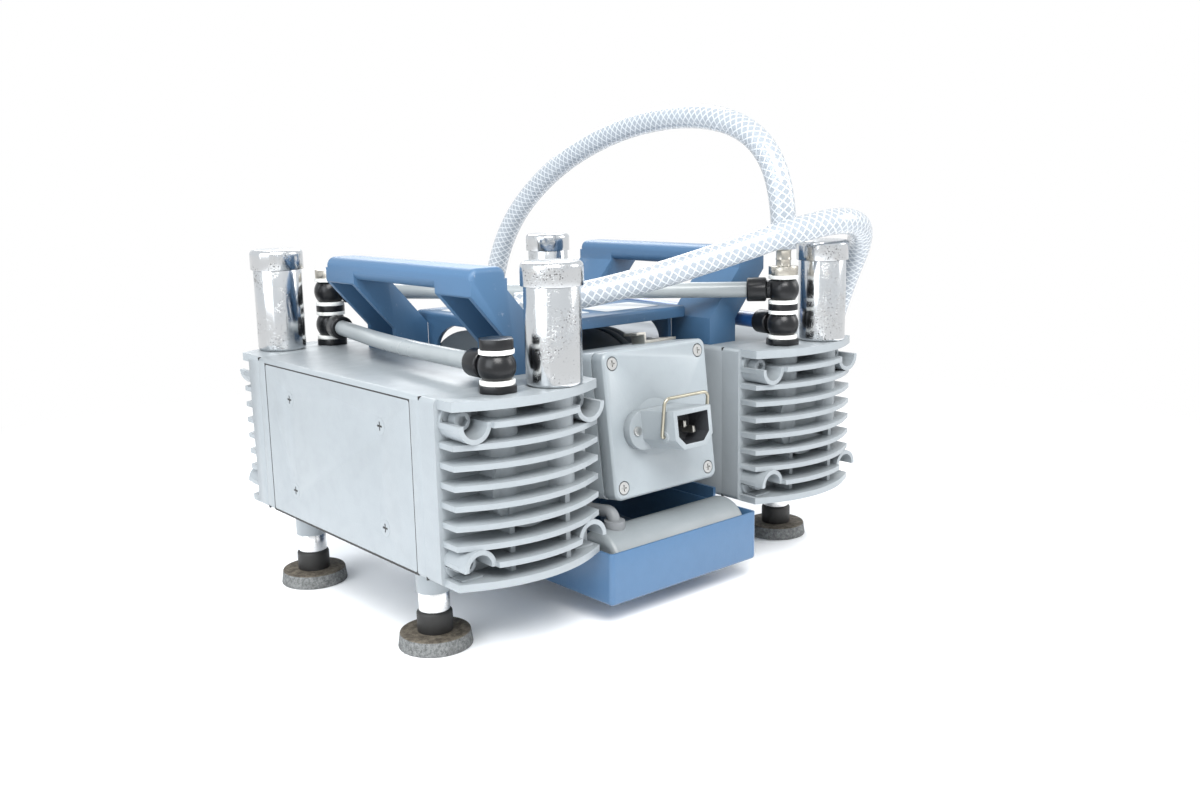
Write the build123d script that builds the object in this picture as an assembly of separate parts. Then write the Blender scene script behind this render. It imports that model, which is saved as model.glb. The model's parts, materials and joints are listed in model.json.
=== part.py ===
"""Four-head diaphragm vacuum pump: two square crankcases, each with two opposed finned heads, driven by one motor
that lies between them under a moulded cover with two carrying handles.

Millimetres, +Z up, floor at z = 0. X runs along the motor shaft, -Y is the front with the terminal box and the tray.
"""

import os
from math import atan2, cos, degrees, pi, radians, sqrt, tan

from build123d import *

# ---- crankcases and feet -------------------------------------------------------------------------------------------
UNIT = 98.0                 # side of the square crankcase section
UNIT_LENGTH = 186.0         # crankcase length along Y, from head seam to head seam
UNIT_X = 112.3              # crankcase centre from the middle of the pump
FOOT_HEIGHT = 46.5          # underside of the crankcases above the floor
CASE_ROUND = 3.0
CRANK_BORE_R = 30.0         # bore along Y that the rods work in
SHAFT_PORT_R = 24.0         # opening towards the motor
WINDOW_LENGTH = 84.0        # service window behind the side cover
WINDOW_HEIGHT = 40.0
COVER_RECESS = 5.0          # depth that the side cover is let in
COVER_LENGTH = 168.0
COVER_GAP = 0.5
COVER_EDGE_LOW = 1.6        # crankcase rim left under and over the side cover
COVER_EDGE_TOP = 3.2
COVER_SCREW_Y = 53.0
COVER_SCREW_UP = 27.4
COVER_SCREW_DOWN = 29.4
FOOT_X_IN = 31.5            # foot from the crankcase centre, towards the outside
FOOT_Y = 71.0
BOSS_R = 9.5
BOSS_HEIGHT = 15.0
SLEEVE_R = 8.7
SLEEVE_HEIGHT = 11.0
RUBBER_R = 9.9
PAD_R = 20.7
PAD_TOP_R = 19.5
PAD_HEIGHT = 8.4
FOOT_STUD_R = 3.0

# ---- heads ---------------------------------------------------------------------------------------------------------
FLANGE = 14.0               # plain flange next to the crankcase
FIN_COUNT = 8
FIN_THICK = 3.0
TOP_PLATE = 5.0
BOTTOM_PLATE = 4.0
FIN_SIDE_REACH = 27.0       # from the seam to where the fins' corners start
FIN_CORNER_REACH = 31.0
FIN_REACH = 40.5            # from the seam to the middle of the bowed fin edge
FIN_INSET = 2.0
FIN_CORNER = 8.0
CORE_R = 24.0               # solid middle of the head that the fins stand on
HEAD_SCREW_X = 37.3
HEAD_SCREW_Z = 37.5
SCREW_TUBE_R = 9.5
SCREW_SEAT = 16.0           # from the seam to the seat of the screw head
SCREW_TUBE_END = 25.0
M6_R = 3.0
M6_HEAD_R = 5.0
M6_HEAD = 6.0
M6_SOCKET = 5.0
SCREW_BORE_R = 3.3
SCREW_POCKET_R = 6.2
SCREW_GRIP = 12.0           # thread length in the crankcase
FITTING_DX = -13.3          # port columns of a front head, from the crankcase centre
FITTING_Y = 112.4
CAN_DX = 20.8
CAN_Y = 116.4
COLUMN_R = 9.5
COLUMN_FINS = 5             # the columns end on this fin, a thin rib goes on below
PORT_R = 5.0
PORT_DEPTH = 22.0
DUCT_R = 2.6
RIB = 3.0

# ---- pumping parts -------------------------------------------------------------------------------------------------
THROW = 3.0
SHAFT_R = 7.5
ECCENTRIC_R = 14.0
RUNNING = 0.05              # radial running clearance
ROD_WIDTH = 12.0
ROD_GAP = 1.0
ROD_RING_R = 20.0
ROD_STEM = 13.0
DIAPHRAGM_R = 40.0
DIAPHRAGM = 3.0
DIAPHRAGM_RIM_IN = 26.5
DISC_R = 22.0
ROD_PLATE_R = 17.0
ROD_PLATE = 3.0
CLAMP_DISC = 1.6
INNER_PLATE_R = 30.0
INNER_PLATE = 8.0
DISH_R = 27.0
DISH = 5.2
VALVE_Z = 12.0
VALVE_R = 5.0
VALVE_POCKET_R = 5.6
VALVE = 1.0
VALVE_POCKET = 1.6
VALVE_PORT_R = 2.6
WEIGHT_R = 23.0
WEIGHT = 5.0

# ---- motor ---------------------------------------------------------------------------------------------------------
MOTOR_R = 56.0
MOTOR_WALL = 5.0
MOTOR_HALF = 43.0
STATOR_BORE_R = 29.0
AIR_GAP = 0.5
STATOR_HALF = 30.0
SHIELD = 6.0
BEARING_R = 17.5
BEARING_WIDTH = 11.0
HUB_R = 23.0
POST_R = 6.0
POST_AT = 35.0              # each post from the shaft, along Y and Z
FAN_R = 43.0
FAN_HUB_R = 12.0
FAN_BLADES = 11
FAN_BLADE = 1.6
FAN_DEPTH = 9.0
SHAFT_HALF = 137.0

# ---- terminal box and mains inlet ----------------------------------------------------------------------------------
BOX_WIDTH = 84.0
BOX_HEIGHT = 86.5
BOX_Y = 103.5               # centre of the box cover's face, forward of the shaft
BOX_Z = 110.5
BOX_TILT = 7.06
BOX_COVER = 10.0
BOX_GAP = 0.8
BOX_DEPTH = 44.0
BOX_WALL = 3.0
BOX_ROUND = 5.0
BOX_SCREW_IN = 7.0
INLET_X = -6.5
INLET_DOWN = 4.2
INLET_FLANGE_R = 25.0
INLET_FLANGE = 5.0
INLET_REACH = 32.4
INLET_WIDTH = 24.5
INLET_HEIGHT = 17.0
INLET_RIM = 2.8
INLET_DEPTH = 16.0
INLET_CHAMFER = 5.0
PIN_PITCH = 7.0
PIN_DROP = 2.0
PIN_SET_BACK = 6.5
BAIL_WIRE_R = 1.0
BAIL_HALF = 17.6
BAIL_PIVOT_OUT = 24.0
BAIL_PIVOT_DOWN = 7.5
BAIL_RISE = 22.0
BAIL_LEAN = 5.0
BAIL_ROUND = 4.0

# ---- cover and handles ---------------------------------------------------------------------------------------------
TOP_HALF_X = 66.0
TOP_HALF_Y = 60.0
TOP_Z = 168.5
TOP_WALL = 3.0
TOP_LIP = 7.0
ARCH_HALF = 36.0
ARCH_RISE = 19.0
GRIP_X = 105.5
GRIP_Z = 198.6
GRIP_WIDE = 24.0
GRIP_TALL = 13.0
GRIP_HALF = 80.0
GRIP_ROUND = 5.5
LEG_IN = 45.0
LEG_FOOT = 24.0
LEG_STEP = 15.0
LEG_WALL = 4.0
LEG_FLOOR = 5.0
STRAP = 1.6
STRAP_LEFT = 14.0
STRAP_RIGHT = 41.0
STRAP_WIDE = 12.0
STRAP_BACK = 14.0
STRAP_RISE = 7.0

# ---- cans, fittings, tubes, hose -----------------------------------------------------------------------------------
CAN_R = 15.25
CAN_HEIGHT = 52.2
CAP_R = 16.75
CAP_HEIGHT = 12.8
CAN_SPIGOT = 10.0
RING_R = 10.0
RING_HEIGHT = 13.4
WASHER_R = 9.3
WASHER = 2.4
HEX = 19.0
BASE_HEX = 4.0
TOP_HEX = 5.5
BOLT_R = 4.8
TUBE_R = 5.0
NUT_R = 7.6
NUT_FROM = 8.5
NUT_END = 23.0
TUBE_START = 11.0
NOZZLE_HEIGHT = 27.0
NOZZLE_R = 4.6
NOZZLE_BORE_R = 3.0
HOSE_R = 8.0
HOSE_BORE_R = 5.0

# ---- tray and capacitor --------------------------------------------------------------------------------------------
TRAY_HALF_X = 61.0
TRAY_FRONT = 125.0
TRAY_BACK = 60.0
TRAY_Z = 13.2
TRAY_LIP = 31.0
TRAY_WALL = 1.5
CAP_CYL_R = 18.5
CAP_CYL_Y = 104.5
CAP_CYL_LOW = -54.0
CAP_CYL_HIGH = 55.0
CABLE_R = 3.6
CABLE_X = -40.0

# ---- worked out ----------------------------------------------------------------------------------------------------
AXIS_Z = FOOT_HEIGHT + UNIT / 2
CASE_TOP = FOOT_HEIGHT + UNIT
SEAM = UNIT_LENGTH / 2
UNIT_IN = UNIT_X - UNIT / 2
UNIT_OUT = UNIT_X + UNIT / 2
FIN_PITCH = (UNIT - TOP_PLATE / 2 - BOTTOM_PLATE / 2) / (FIN_COUNT + 1)
SIDES = {"left": -1, "right": 1}
ENDS = {"front": -1, "rear": 1}

# Route of the free hose, from the nozzle over the pump, round behind it and back to the cover: chosen by hand.
HOSE_ROUTE = [
    (99.1, -112.4, 205), (99.3, -112.6, 242), (100, -88, 279), (100, -34, 293), (100, 44, 286), (100, 120, 259),
    (101, 180, 216), (103, 210, 158), (110, 222, 98), (130, 220, 46), (168, 198, 14), (204, 156, 9), (222, 100, 9),
    (226, 44, 12), (218, -6, 34), (207, -44, 78), (194, -72, 130), (180, -99, 178), (159, -130, 214),
    (122, -144, 224), (82, -135, 218), (42, -112, 204), (2, -84, 190), (-36, -58, 180.5), (-60, -42, 177.5),
]


# ---- shape helpers -------------------------------------------------------------------------------------------------
def slab(x, y, z):
    """Box between two corners, each axis given as (low, high)."""
    size = [high - low for low, high in (x, y, z)]
    middle = [(low + high) / 2 for low, high in (x, y, z)]
    return Pos(*middle) * Box(*size)


def bar_x(r, x0, x1, y, z):
    """Round bar along X."""
    return Pos((x0 + x1) / 2, y, z) * Rot(0, 90, 0) * Cylinder(r, abs(x1 - x0))


def bar_y(r, y0, y1, x, z):
    """Round bar along Y."""
    return Pos(x, (y0 + y1) / 2, z) * Rot(90, 0, 0) * Cylinder(r, abs(y1 - y0))


def bar_z(r, z0, z1, x, y):
    """Round bar along Z."""
    return Pos(x, y, (z0 + z1) / 2) * Cylinder(r, abs(z1 - z0))


def ring_y(r_out, r_in, y0, y1, x, z):
    return bar_y(r_out, y0, y1, x, z) - bar_y(r_in, min(y0, y1) - 1, max(y0, y1) + 1, x, z)


def hexagon(across, z0, z1, x, y):
    """Upright hexagon bar with turned corners."""
    prism = extrude(Pos(x, y, z0) * RegularPolygon(across / sqrt(3), 6), z1 - z0)
    return prism & bar_z(across / 2 * 1.09, z0, z1, x, y)


def group(shapes):
    """Several separate solids as one node."""
    solids = []
    for shape in shapes:
        solids += shape.solids()
    return Compound(children=solids)


# ---- crankcases ----------------------------------------------------------------------------------------------------
def cover_span():
    """Lowest and highest point of the side cover."""
    return FOOT_HEIGHT + COVER_EDGE_LOW, CASE_TOP - COVER_EDGE_TOP


def crankcase(side):
    x = side * UNIT_X
    body = slab((x - UNIT / 2, x + UNIT / 2), (-SEAM, SEAM), (FOOT_HEIGHT, CASE_TOP))
    body = fillet(body.edges().filter_by(Axis.Y), CASE_ROUND)
    body -= bar_y(CRANK_BORE_R, -SEAM - 1, SEAM + 1, x, AXIS_Z)
    for end in ENDS.values():
        body -= bar_y(DIAPHRAGM_R, end * SEAM, end * (SEAM - DIAPHRAGM), x, AXIS_Z)
        for dx in (-HEAD_SCREW_X, HEAD_SCREW_X):
            for dz in (-HEAD_SCREW_Z, HEAD_SCREW_Z):
                body -= bar_y(M6_R, end * SEAM, end * (SEAM - SCREW_GRIP), x + dx, AXIS_Z + dz)
    body -= bar_x(SHAFT_PORT_R, side * (UNIT_IN - 1), x, 0, AXIS_Z)
    low, high = cover_span()
    outer = side * UNIT_OUT
    recess = sorted((outer - side * COVER_RECESS, outer + side))
    reach = COVER_LENGTH / 2 + COVER_GAP
    body -= slab(recess, (-reach, reach), (low - COVER_GAP, high + COVER_GAP))
    window = slab(sorted((x, outer)), (-WINDOW_LENGTH / 2, WINDOW_LENGTH / 2),
                  (AXIS_Z - WINDOW_HEIGHT / 2, AXIS_Z + WINDOW_HEIGHT / 2))
    body -= fillet(window.edges().filter_by(Axis.X), 8)
    for y, z in cover_screw_places():
        body -= bar_x(2.0, outer - side * COVER_RECESS, outer - side * (COVER_RECESS + 9), y, z)
    for y in (-FOOT_Y, FOOT_Y):
        fx = side * (UNIT_X + FOOT_X_IN)
        body += bar_z(BOSS_R, FOOT_HEIGHT - BOSS_HEIGHT, FOOT_HEIGHT + 1, fx, y)
        body -= bar_z(FOOT_STUD_R, FOOT_HEIGHT - BOSS_HEIGHT - 1, FOOT_HEIGHT - 2, fx, y)
    return body


def cover_screw_places():
    return [(y, AXIS_Z + dz) for y in (-COVER_SCREW_Y, COVER_SCREW_Y)
            for dz in (-COVER_SCREW_DOWN, COVER_SCREW_UP)]


def cone_x(side, depth, r_wide, y, z):
    """Countersink that opens on the outer face of a crankcase."""
    outer = side * UNIT_OUT
    cone = Rot(0, side * 90, 0) * Cone(r_wide - depth, r_wide, depth)
    return Pos(outer - side * depth / 2, y, z) * cone


def side_cover(side):
    outer = side * UNIT_OUT
    low, high = cover_span()
    plate = slab(sorted((outer - side * COVER_RECESS, outer)), (-COVER_LENGTH / 2, COVER_LENGTH / 2), (low, high))
    plate = fillet(plate.edges().filter_by(Axis.X), 2)
    plate = chamfer(plate.faces().sort_by(Axis.X)[-1 if side > 0 else 0].edges(), 0.6)
    for y, z in cover_screw_places():
        plate -= cone_x(side, 2.6, 5.0, y, z)
        plate -= bar_x(2.4, outer, outer - side * (COVER_RECESS + 1), y, z)
    return plate


def side_cover_screws():
    """Countersunk cross-head screws of both side covers."""
    screws = []
    for side in SIDES.values():
        outer = side * UNIT_OUT
        for y, z in cover_screw_places():
            screw = cone_x(side, 2.6, 5.0, y, z) + bar_x(2.0, outer - side, outer - side * (COVER_RECESS + 8), y, z)
            for wide, tall in ((5.0, 1.2), (1.2, 5.0)):
                screw -= slab(sorted((outer + side, outer - side * 1.4)), (y - wide / 2, y + wide / 2),
                              (z - tall / 2, z + tall / 2))
            screws.append(screw)
    return screws


# ---- heads ---------------------------------------------------------------------------------------------------------
def fin_outline(inset=0.0):
    """Plan of one fin: straight sides, cut corners and a bowed front, seen from above with the seam at y = 0."""
    half = UNIT / 2 - FIN_INSET - inset
    corner = half - FIN_CORNER
    with_edge = [
        Line((-half, -FLANGE + 1), (-half, -FIN_SIDE_REACH)),
        Line((-half, -FIN_SIDE_REACH), (-corner, -FIN_CORNER_REACH)),
        ThreePointArc((-corner, -FIN_CORNER_REACH), (0, -FIN_REACH), (corner, -FIN_CORNER_REACH)),
        Line((corner, -FIN_CORNER_REACH), (half, -FIN_SIDE_REACH)),
        Line((half, -FIN_SIDE_REACH), (half, -FLANGE + 1)),
        Line((half, -FLANGE + 1), (-half, -FLANGE + 1)),
    ]
    return make_face(Wire(with_edge))


def plate_heights():
    """(low, high) of every horizontal plate of a head, from the top down, about the head's centre."""
    plates = [(UNIT / 2 - TOP_PLATE, UNIT / 2)]
    for n in range(1, FIN_COUNT + 1):
        middle = UNIT / 2 - TOP_PLATE / 2 - n * FIN_PITCH
        plates.append((middle - FIN_THICK / 2, middle + FIN_THICK / 2))
    plates.append((-UNIT / 2, -UNIT / 2 + BOTTOM_PLATE))
    return plates


def head():
    """Front head about its own centre: seam plane at y = 0, fins towards -Y."""
    flange = slab((-UNIT / 2, UNIT / 2), (-FLANGE, 0), (-UNIT / 2, UNIT / 2))
    body = fillet(flange.edges().filter_by(Axis.Y), CASE_ROUND)
    outline = fin_outline()
    for low, high in plate_heights():
        body += extrude(Pos(0, 0, low) * outline, high - low)
    body += bar_y(CORE_R, -FLANGE + 1, -FIN_SIDE_REACH, 0, 0)
    plates = plate_heights()
    column_low = plates[COLUMN_FINS][0]
    bottom = -UNIT / 2 + BOTTOM_PLATE / 2
    for dx, y in ((FITTING_DX, FITTING_Y), (CAN_DX, CAN_Y)):
        out = SEAM - y
        body += bar_z(COLUMN_R, column_low, UNIT / 2, dx, out)
        body += slab((dx - COLUMN_R, dx + COLUMN_R), (out, -FLANGE + 1), (column_low, UNIT / 2 - 1))
        body += slab((dx - RIB / 2, dx + RIB / 2), (out - COLUMN_R + 1, -FLANGE + 1), (bottom, column_low + 1))
    for dx in (-HEAD_SCREW_X, HEAD_SCREW_X):
        for dz in (-HEAD_SCREW_Z, HEAD_SCREW_Z):
            body += bar_y(SCREW_TUBE_R, -FLANGE + 1, -SCREW_TUBE_END, dx, dz)
            body -= bar_y(SCREW_BORE_R, 1, -SCREW_TUBE_END - 1, dx, dz)
            body -= bar_y(SCREW_POCKET_R, -SCREW_SEAT, -FIN_REACH - 1, dx, dz)
    body -= bar_y(INNER_PLATE_R, 1, -INNER_PLATE, 0, 0)
    for (dx, y), dz in zip(((FITTING_DX, FITTING_Y), (CAN_DX, CAN_Y)), (VALVE_Z, -VALVE_Z)):
        out = SEAM - y
        body -= bar_z(PORT_R, UNIT / 2 - PORT_DEPTH, UNIT / 2 + 1, dx, out)
        body -= bar_z(DUCT_R, dz, UNIT / 2 - PORT_DEPTH + 1, dx, out)
        body -= bar_y(DUCT_R, -INNER_PLATE + 1, out, dx, dz)
    return body & slab((-UNIT / 2, UNIT / 2), (-FIN_REACH, 0), (-UNIT / 2, UNIT / 2))


def at_head(shape, side, end):
    """Copy of a front-head shape set on one of the four seams."""
    turn = 0 if end < 0 else 180
    return Pos(side * UNIT_X, end * SEAM, AXIS_Z) * Rot(0, 0, turn) * shape


def head_screw(dx, dz):
    screw = bar_y(M6_HEAD_R, -SCREW_SEAT, -SCREW_SEAT - M6_HEAD, dx, dz)
    screw = chamfer(screw.edges().sort_by(Axis.Y)[0], 0.5)
    screw += bar_y(M6_R, SCREW_GRIP, -SCREW_SEAT - 1, dx, dz)
    socket = Pos(dx, -SCREW_SEAT - M6_HEAD, dz) * Rot(90, 0, 0) * RegularPolygon(M6_SOCKET / sqrt(3), 6)
    return screw - extrude(socket, -3.2)


def head_screws():
    screws = []
    for side in SIDES.values():
        for end in ENDS.values():
            for dx in (-HEAD_SCREW_X, HEAD_SCREW_X):
                for dz in (-HEAD_SCREW_Z, HEAD_SCREW_Z):
                    screws.append(at_head(head_screw(dx, dz), side, end))
    return group(screws)


def valve_places():
    return [(FITTING_DX, VALVE_Z), (CAN_DX, -VALVE_Z)]


def inner_plate():
    """Plate between diaphragm and head, dished for the clamp disc, with a pocket and a port for each valve."""
    plate = bar_y(INNER_PLATE_R, 0, -INNER_PLATE, 0, 0)
    plate -= Pos(0, -DISH / 2, 0) * Rot(90, 0, 0) * Cone(DISH_R, DISH_R - 3, DISH)
    for x, z in valve_places():
        plate -= bar_y(VALVE_POCKET_R, -INNER_PLATE + VALVE_POCKET, -INNER_PLATE - 1, x, z)
        plate -= bar_y(VALVE_PORT_R, 0, -INNER_PLATE - 1, x, z)
    return plate


def inner_plates():
    return group(at_head(inner_plate(), s, e) for s in SIDES.values() for e in ENDS.values())


def valve_discs():
    discs = []
    for side in SIDES.values():
        for end in ENDS.values():
            for x, z in valve_places():
                seat = -INNER_PLATE + VALVE_POCKET
                discs.append(at_head(bar_y(VALVE_R, seat, seat - VALVE, x, z), side, end))
    return group(discs)


def diaphragm_rims():
    rims = []
    for side in SIDES.values():
        for end in ENDS.values():
            rims.append(ring_y(DIAPHRAGM_R, DIAPHRAGM_RIM_IN, end * SEAM, end * (SEAM - DIAPHRAGM),
                               side * UNIT_X, AXIS_Z))
    return group(rims)


# ---- rods and shaft ------------------------------------------------------------------------------------------------
def rod_x(side, end):
    """Middle of a rod's ring: the front and rear rods sit side by side on one eccentric."""
    return side * UNIT_X + end * (ROD_WIDTH + ROD_GAP) / 2


def con_rod(side, end):
    x, z = rod_x(side, end), AXIS_Z + THROW
    plate_out = SEAM - DIAPHRAGM
    plate_in = plate_out - ROD_PLATE
    half = ROD_WIDTH / 2
    body = bar_x(ROD_RING_R, x - half, x + half, 0, z)
    stem = slab((x - half, x + half), sorted((0, end * (plate_in - 6))), (z - ROD_STEM / 2, z + ROD_STEM / 2))
    stem = fillet(stem.edges().filter_by(Axis.Y), 3)
    foot = Pos(side * UNIT_X, end * (plate_in - 3.5), z) * Rot(end * 90, 0, 0) * Cone(ROD_PLATE_R, 13, 7)
    plate = bar_y(ROD_PLATE_R, end * plate_in, end * plate_out, side * UNIT_X, z)
    body = body + stem + foot + plate
    return body - bar_x(ECCENTRIC_R + RUNNING, x - half - 1, x + half + 1, 0, z)


def diaphragm_disc(side, end):
    z = AXIS_Z + THROW
    return bar_y(DISC_R, end * SEAM, end * (SEAM - DIAPHRAGM), side * UNIT_X, z)


def clamp_disc(side, end):
    z = AXIS_Z + THROW
    disc = bar_y(ROD_PLATE_R, end * SEAM, end * (SEAM + CLAMP_DISC), side * UNIT_X, z)
    return chamfer(disc.edges().sort_by(Axis.Y)[0 if end < 0 else -1], 0.6)


def eccentric(side):
    x = side * UNIT_X
    half = ROD_WIDTH + ROD_GAP
    body = bar_x(ECCENTRIC_R, x - half, x + half, 0, AXIS_Z + THROW)
    for face in (-1, 1):
        start = x + face * half
        weight = bar_x(WEIGHT_R, start, start + face * WEIGHT, 0, AXIS_Z)
        body += weight - slab((x - UNIT, x + UNIT), (-UNIT, UNIT), (AXIS_Z + SHAFT_R + 3, AXIS_Z + UNIT))
    return body - bar_x(SHAFT_R, x - UNIT / 2, x + UNIT / 2, 0, AXIS_Z)


def motor_shaft():
    shaft = bar_x(SHAFT_R, -SHAFT_HALF, SHAFT_HALF, 0, AXIS_Z)
    return chamfer(shaft.edges().filter_by(GeomType.CIRCLE), 0.8)


def rotor():
    core = bar_x(STATOR_BORE_R - AIR_GAP, -STATOR_HALF, STATOR_HALF, 0, AXIS_Z)
    for face in (-1, 1):
        core += bar_x(STATOR_BORE_R - 6, 0, face * (STATOR_HALF + 4), 0, AXIS_Z)
    return core - bar_x(SHAFT_R, -UNIT, UNIT, 0, AXIS_Z)


def cooling_fan():
    """Radial fan on the left end of the motor, between its shield and the crankcase."""
    start = -(MOTOR_HALF + SHIELD + 1.5)
    stop = start - FAN_DEPTH
    fan = bar_x(FAN_R, start, start - 1.5, 0, AXIS_Z) + bar_x(FAN_HUB_R, start, stop, 0, AXIS_Z)
    for n in range(FAN_BLADES):
        blade = slab((stop, start), (-FAN_BLADE / 2, FAN_BLADE / 2), (FAN_HUB_R - 2, FAN_R))
        fan += Pos(0, 0, AXIS_Z) * Rot(n * 360 / FAN_BLADES, 0, 0) * blade
    return fan - bar_x(SHAFT_R, -UNIT, UNIT, 0, AXIS_Z)


# ---- motor ---------------------------------------------------------------------------------------------------------
def motor_housing():
    shell = bar_x(MOTOR_R, -MOTOR_HALF, MOTOR_HALF, 0, AXIS_Z)
    for face in (-1, 1):
        groove = MOTOR_HALF - 6
        shell -= (bar_x(MOTOR_R + 1, face * groove, face * (groove - 2), 0, AXIS_Z)
                  - bar_x(MOTOR_R - 1, face * (groove + 1), face * (groove - 3), 0, AXIS_Z))
    return shell - bar_x(MOTOR_R - MOTOR_WALL, -MOTOR_HALF - 1, MOTOR_HALF + 1, 0, AXIS_Z)


def stator():
    core = bar_x(MOTOR_R - MOTOR_WALL, -STATOR_HALF, STATOR_HALF, 0, AXIS_Z)
    return core - bar_x(STATOR_BORE_R, -STATOR_HALF - 1, STATOR_HALF + 1, 0, AXIS_Z)


def end_shield(side):
    """Motor end with its bearing hub and four posts that reach the crankcase."""
    face = side * MOTOR_HALF
    shield = bar_x(MOTOR_R, face, face + side * SHIELD, 0, AXIS_Z)
    shield += bar_x(HUB_R, face + side * SHIELD, face + side * (SHIELD - BEARING_WIDTH), 0, AXIS_Z)
    for y in (-POST_AT, POST_AT):
        for z in (-POST_AT, POST_AT):
            shield += bar_x(POST_R, face + side * (SHIELD - 1), side * UNIT_IN, y, AXIS_Z + z)
    return shield - bar_x(BEARING_R, -side * UNIT, side * UNIT, 0, AXIS_Z)


def ball_bearings():
    bearings = []
    for side in SIDES.values():
        start = side * (MOTOR_HALF + SHIELD)
        stop = start - side * BEARING_WIDTH
        ring = bar_x(BEARING_R, start, stop, 0, AXIS_Z) - bar_x(SHAFT_R + RUNNING, -side * UNIT, side * UNIT, 0, AXIS_Z)
        for edge in (start, stop):
            groove = bar_x(BEARING_R - 2.5, edge - 1, edge + 1, 0, AXIS_Z)
            ring -= groove - bar_x(SHAFT_R + 2.5, edge - 2, edge + 2, 0, AXIS_Z)
        bearings.append(ring)
    return group(bearings)


# ---- terminal box --------------------------------------------------------------------------------------------------
def on_box(shape):
    """Moves a shape from the box cover's own plane, face at y = 0 and centred, to its tilted place."""
    return Pos(0, -BOX_Y, BOX_Z) * Rot(-BOX_TILT, 0, 0) * shape


def box_block(y0, y1, inset=0.0):
    half_x, half_z = BOX_WIDTH / 2 - inset, BOX_HEIGHT / 2 - inset
    block = slab((-half_x, half_x), (y0, y1), (-half_z, half_z))
    return fillet(block.edges().filter_by(Axis.Y), max(BOX_ROUND - inset, 1))


def box_corners():
    dx, dz = BOX_WIDTH / 2 - BOX_SCREW_IN, BOX_HEIGHT / 2 - BOX_SCREW_IN
    return [(x, z) for x in (-dx, dx) for z in (-dz, dz)]


def terminal_box_base():
    """Box that sits on the motor: open to the front behind its cover, with a screw post in each corner."""
    start = BOX_COVER + BOX_GAP
    base = box_block(start, BOX_DEPTH)
    hollow = box_block(start - 1, BOX_DEPTH - 18, BOX_WALL)
    for x, z in box_corners():
        hollow -= bar_y(BOX_SCREW_IN, start - 2, BOX_DEPTH, x, z)
    base -= hollow
    base += box_block(BOX_COVER, start + 1, BOX_WALL) - box_block(0, BOX_DEPTH, BOX_WALL * 2)
    base -= slab((-BOX_WIDTH, BOX_WIDTH), (0, start + 1), (-BOX_HEIGHT, -BOX_HEIGHT / 2 + BOX_WALL + 1))
    for x, z in box_corners():
        base -= bar_y(1.6, 0, BOX_COVER + 12, x, z)
    return on_box(base) - bar_x(MOTOR_R, -UNIT, UNIT, 0, AXIS_Z)


def terminal_box_cover():
    cover = box_block(0, BOX_COVER)
    cover = chamfer(cover.faces().sort_by(Axis.Y)[0].edges(), 1.2)
    cover -= box_block(BOX_WALL, BOX_COVER + 1, BOX_WALL) - group(
        bar_y(BOX_SCREW_IN, 0, BOX_COVER + 1, x, z) for x, z in box_corners())
    for x, z in box_corners():
        cover -= bar_y(4.2, -1, 2.2, x, z) + bar_y(1.9, 0, BOX_COVER + 1, x, z)
    hole = INLET_FLANGE_R - 8
    return on_box(cover - bar_y(hole, -1, BOX_WALL + 1, INLET_X, -INLET_DOWN))


def terminal_cover_screws():
    screws = []
    for x, z in box_corners():
        screw = bar_y(3.6, 2.2, 0.2, x, z) + bar_y(1.6, 1, BOX_COVER + 11, x, z)
        for wide, tall in ((4.0, 0.9), (0.9, 4.0)):
            screw -= slab((x - wide / 2, x + wide / 2), (-1, 1.2), (z - tall / 2, z + tall / 2))
        screws.append(on_box(screw))
    return screws


def inlet_section(width, height, chamfer_size):
    """Mains inlet section in the XZ plane: a rectangle with both lower corners cut."""
    x, z, c = width / 2, height / 2, chamfer_size
    points = [(-x, z), (x, z), (x, -z + c), (x - c, -z), (-x + c, -z), (-x, -z + c)]
    return Plane.XZ * make_face(Polyline(*points, close=True))


def inlet_adapter():
    place = Pos(INLET_X, 0, -INLET_DOWN)
    outer = inlet_section(INLET_WIDTH + 2 * INLET_RIM, INLET_HEIGHT + 2 * INLET_RIM, INLET_CHAMFER + 1)
    body = extrude(outer, INLET_REACH)
    body += bar_y(INLET_FLANGE_R, 0, -INLET_FLANGE, 0, 0) & slab(
        (-INLET_FLANGE_R, INLET_FLANGE_R), (-INLET_REACH, 0), (-INLET_FLANGE_R + 4, INLET_FLANGE_R - 4))
    cavity = extrude(inlet_section(INLET_WIDTH, INLET_HEIGHT, INLET_CHAMFER), INLET_DEPTH)
    body -= Pos(0, -INLET_REACH + INLET_DEPTH, 0) * cavity
    ear_x = INLET_WIDTH / 2 + INLET_RIM
    for face in (-1, 1):
        body += bar_x(3.2, face * (ear_x - 2), face * (ear_x + 1), -BAIL_PIVOT_OUT, -BAIL_PIVOT_DOWN + INLET_DOWN)
    for x, z in inlet_pin_places():
        body -= slab((x - 1, x + 1), (-INLET_REACH, -INLET_REACH + INLET_DEPTH + 6), (z - 2, z + 2))
    hole = bar_x(BAIL_WIRE_R + RUNNING, -UNIT, UNIT, -BAIL_PIVOT_OUT, -BAIL_PIVOT_DOWN + INLET_DOWN)
    keep = slab((-ear_x + 2, ear_x - 2), (-INLET_REACH, 0), (-UNIT, UNIT))
    return on_box(place * (body - (hole - keep)))


def inlet_pin_places():
    return [(-PIN_PITCH, -PIN_DROP), (0, PIN_DROP), (PIN_PITCH, -PIN_DROP)]


def inlet_pins():
    pins = []
    for x, z in inlet_pin_places():
        pin = slab((x - 1, x + 1), (-INLET_REACH + PIN_SET_BACK, -INLET_REACH + INLET_DEPTH + 6), (z - 2, z + 2))
        pins.append(on_box(Pos(INLET_X, 0, -INLET_DOWN) * chamfer(pin.faces().sort_by(Axis.Y)[0].edges(), 0.6)))
    return group(pins)


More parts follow.
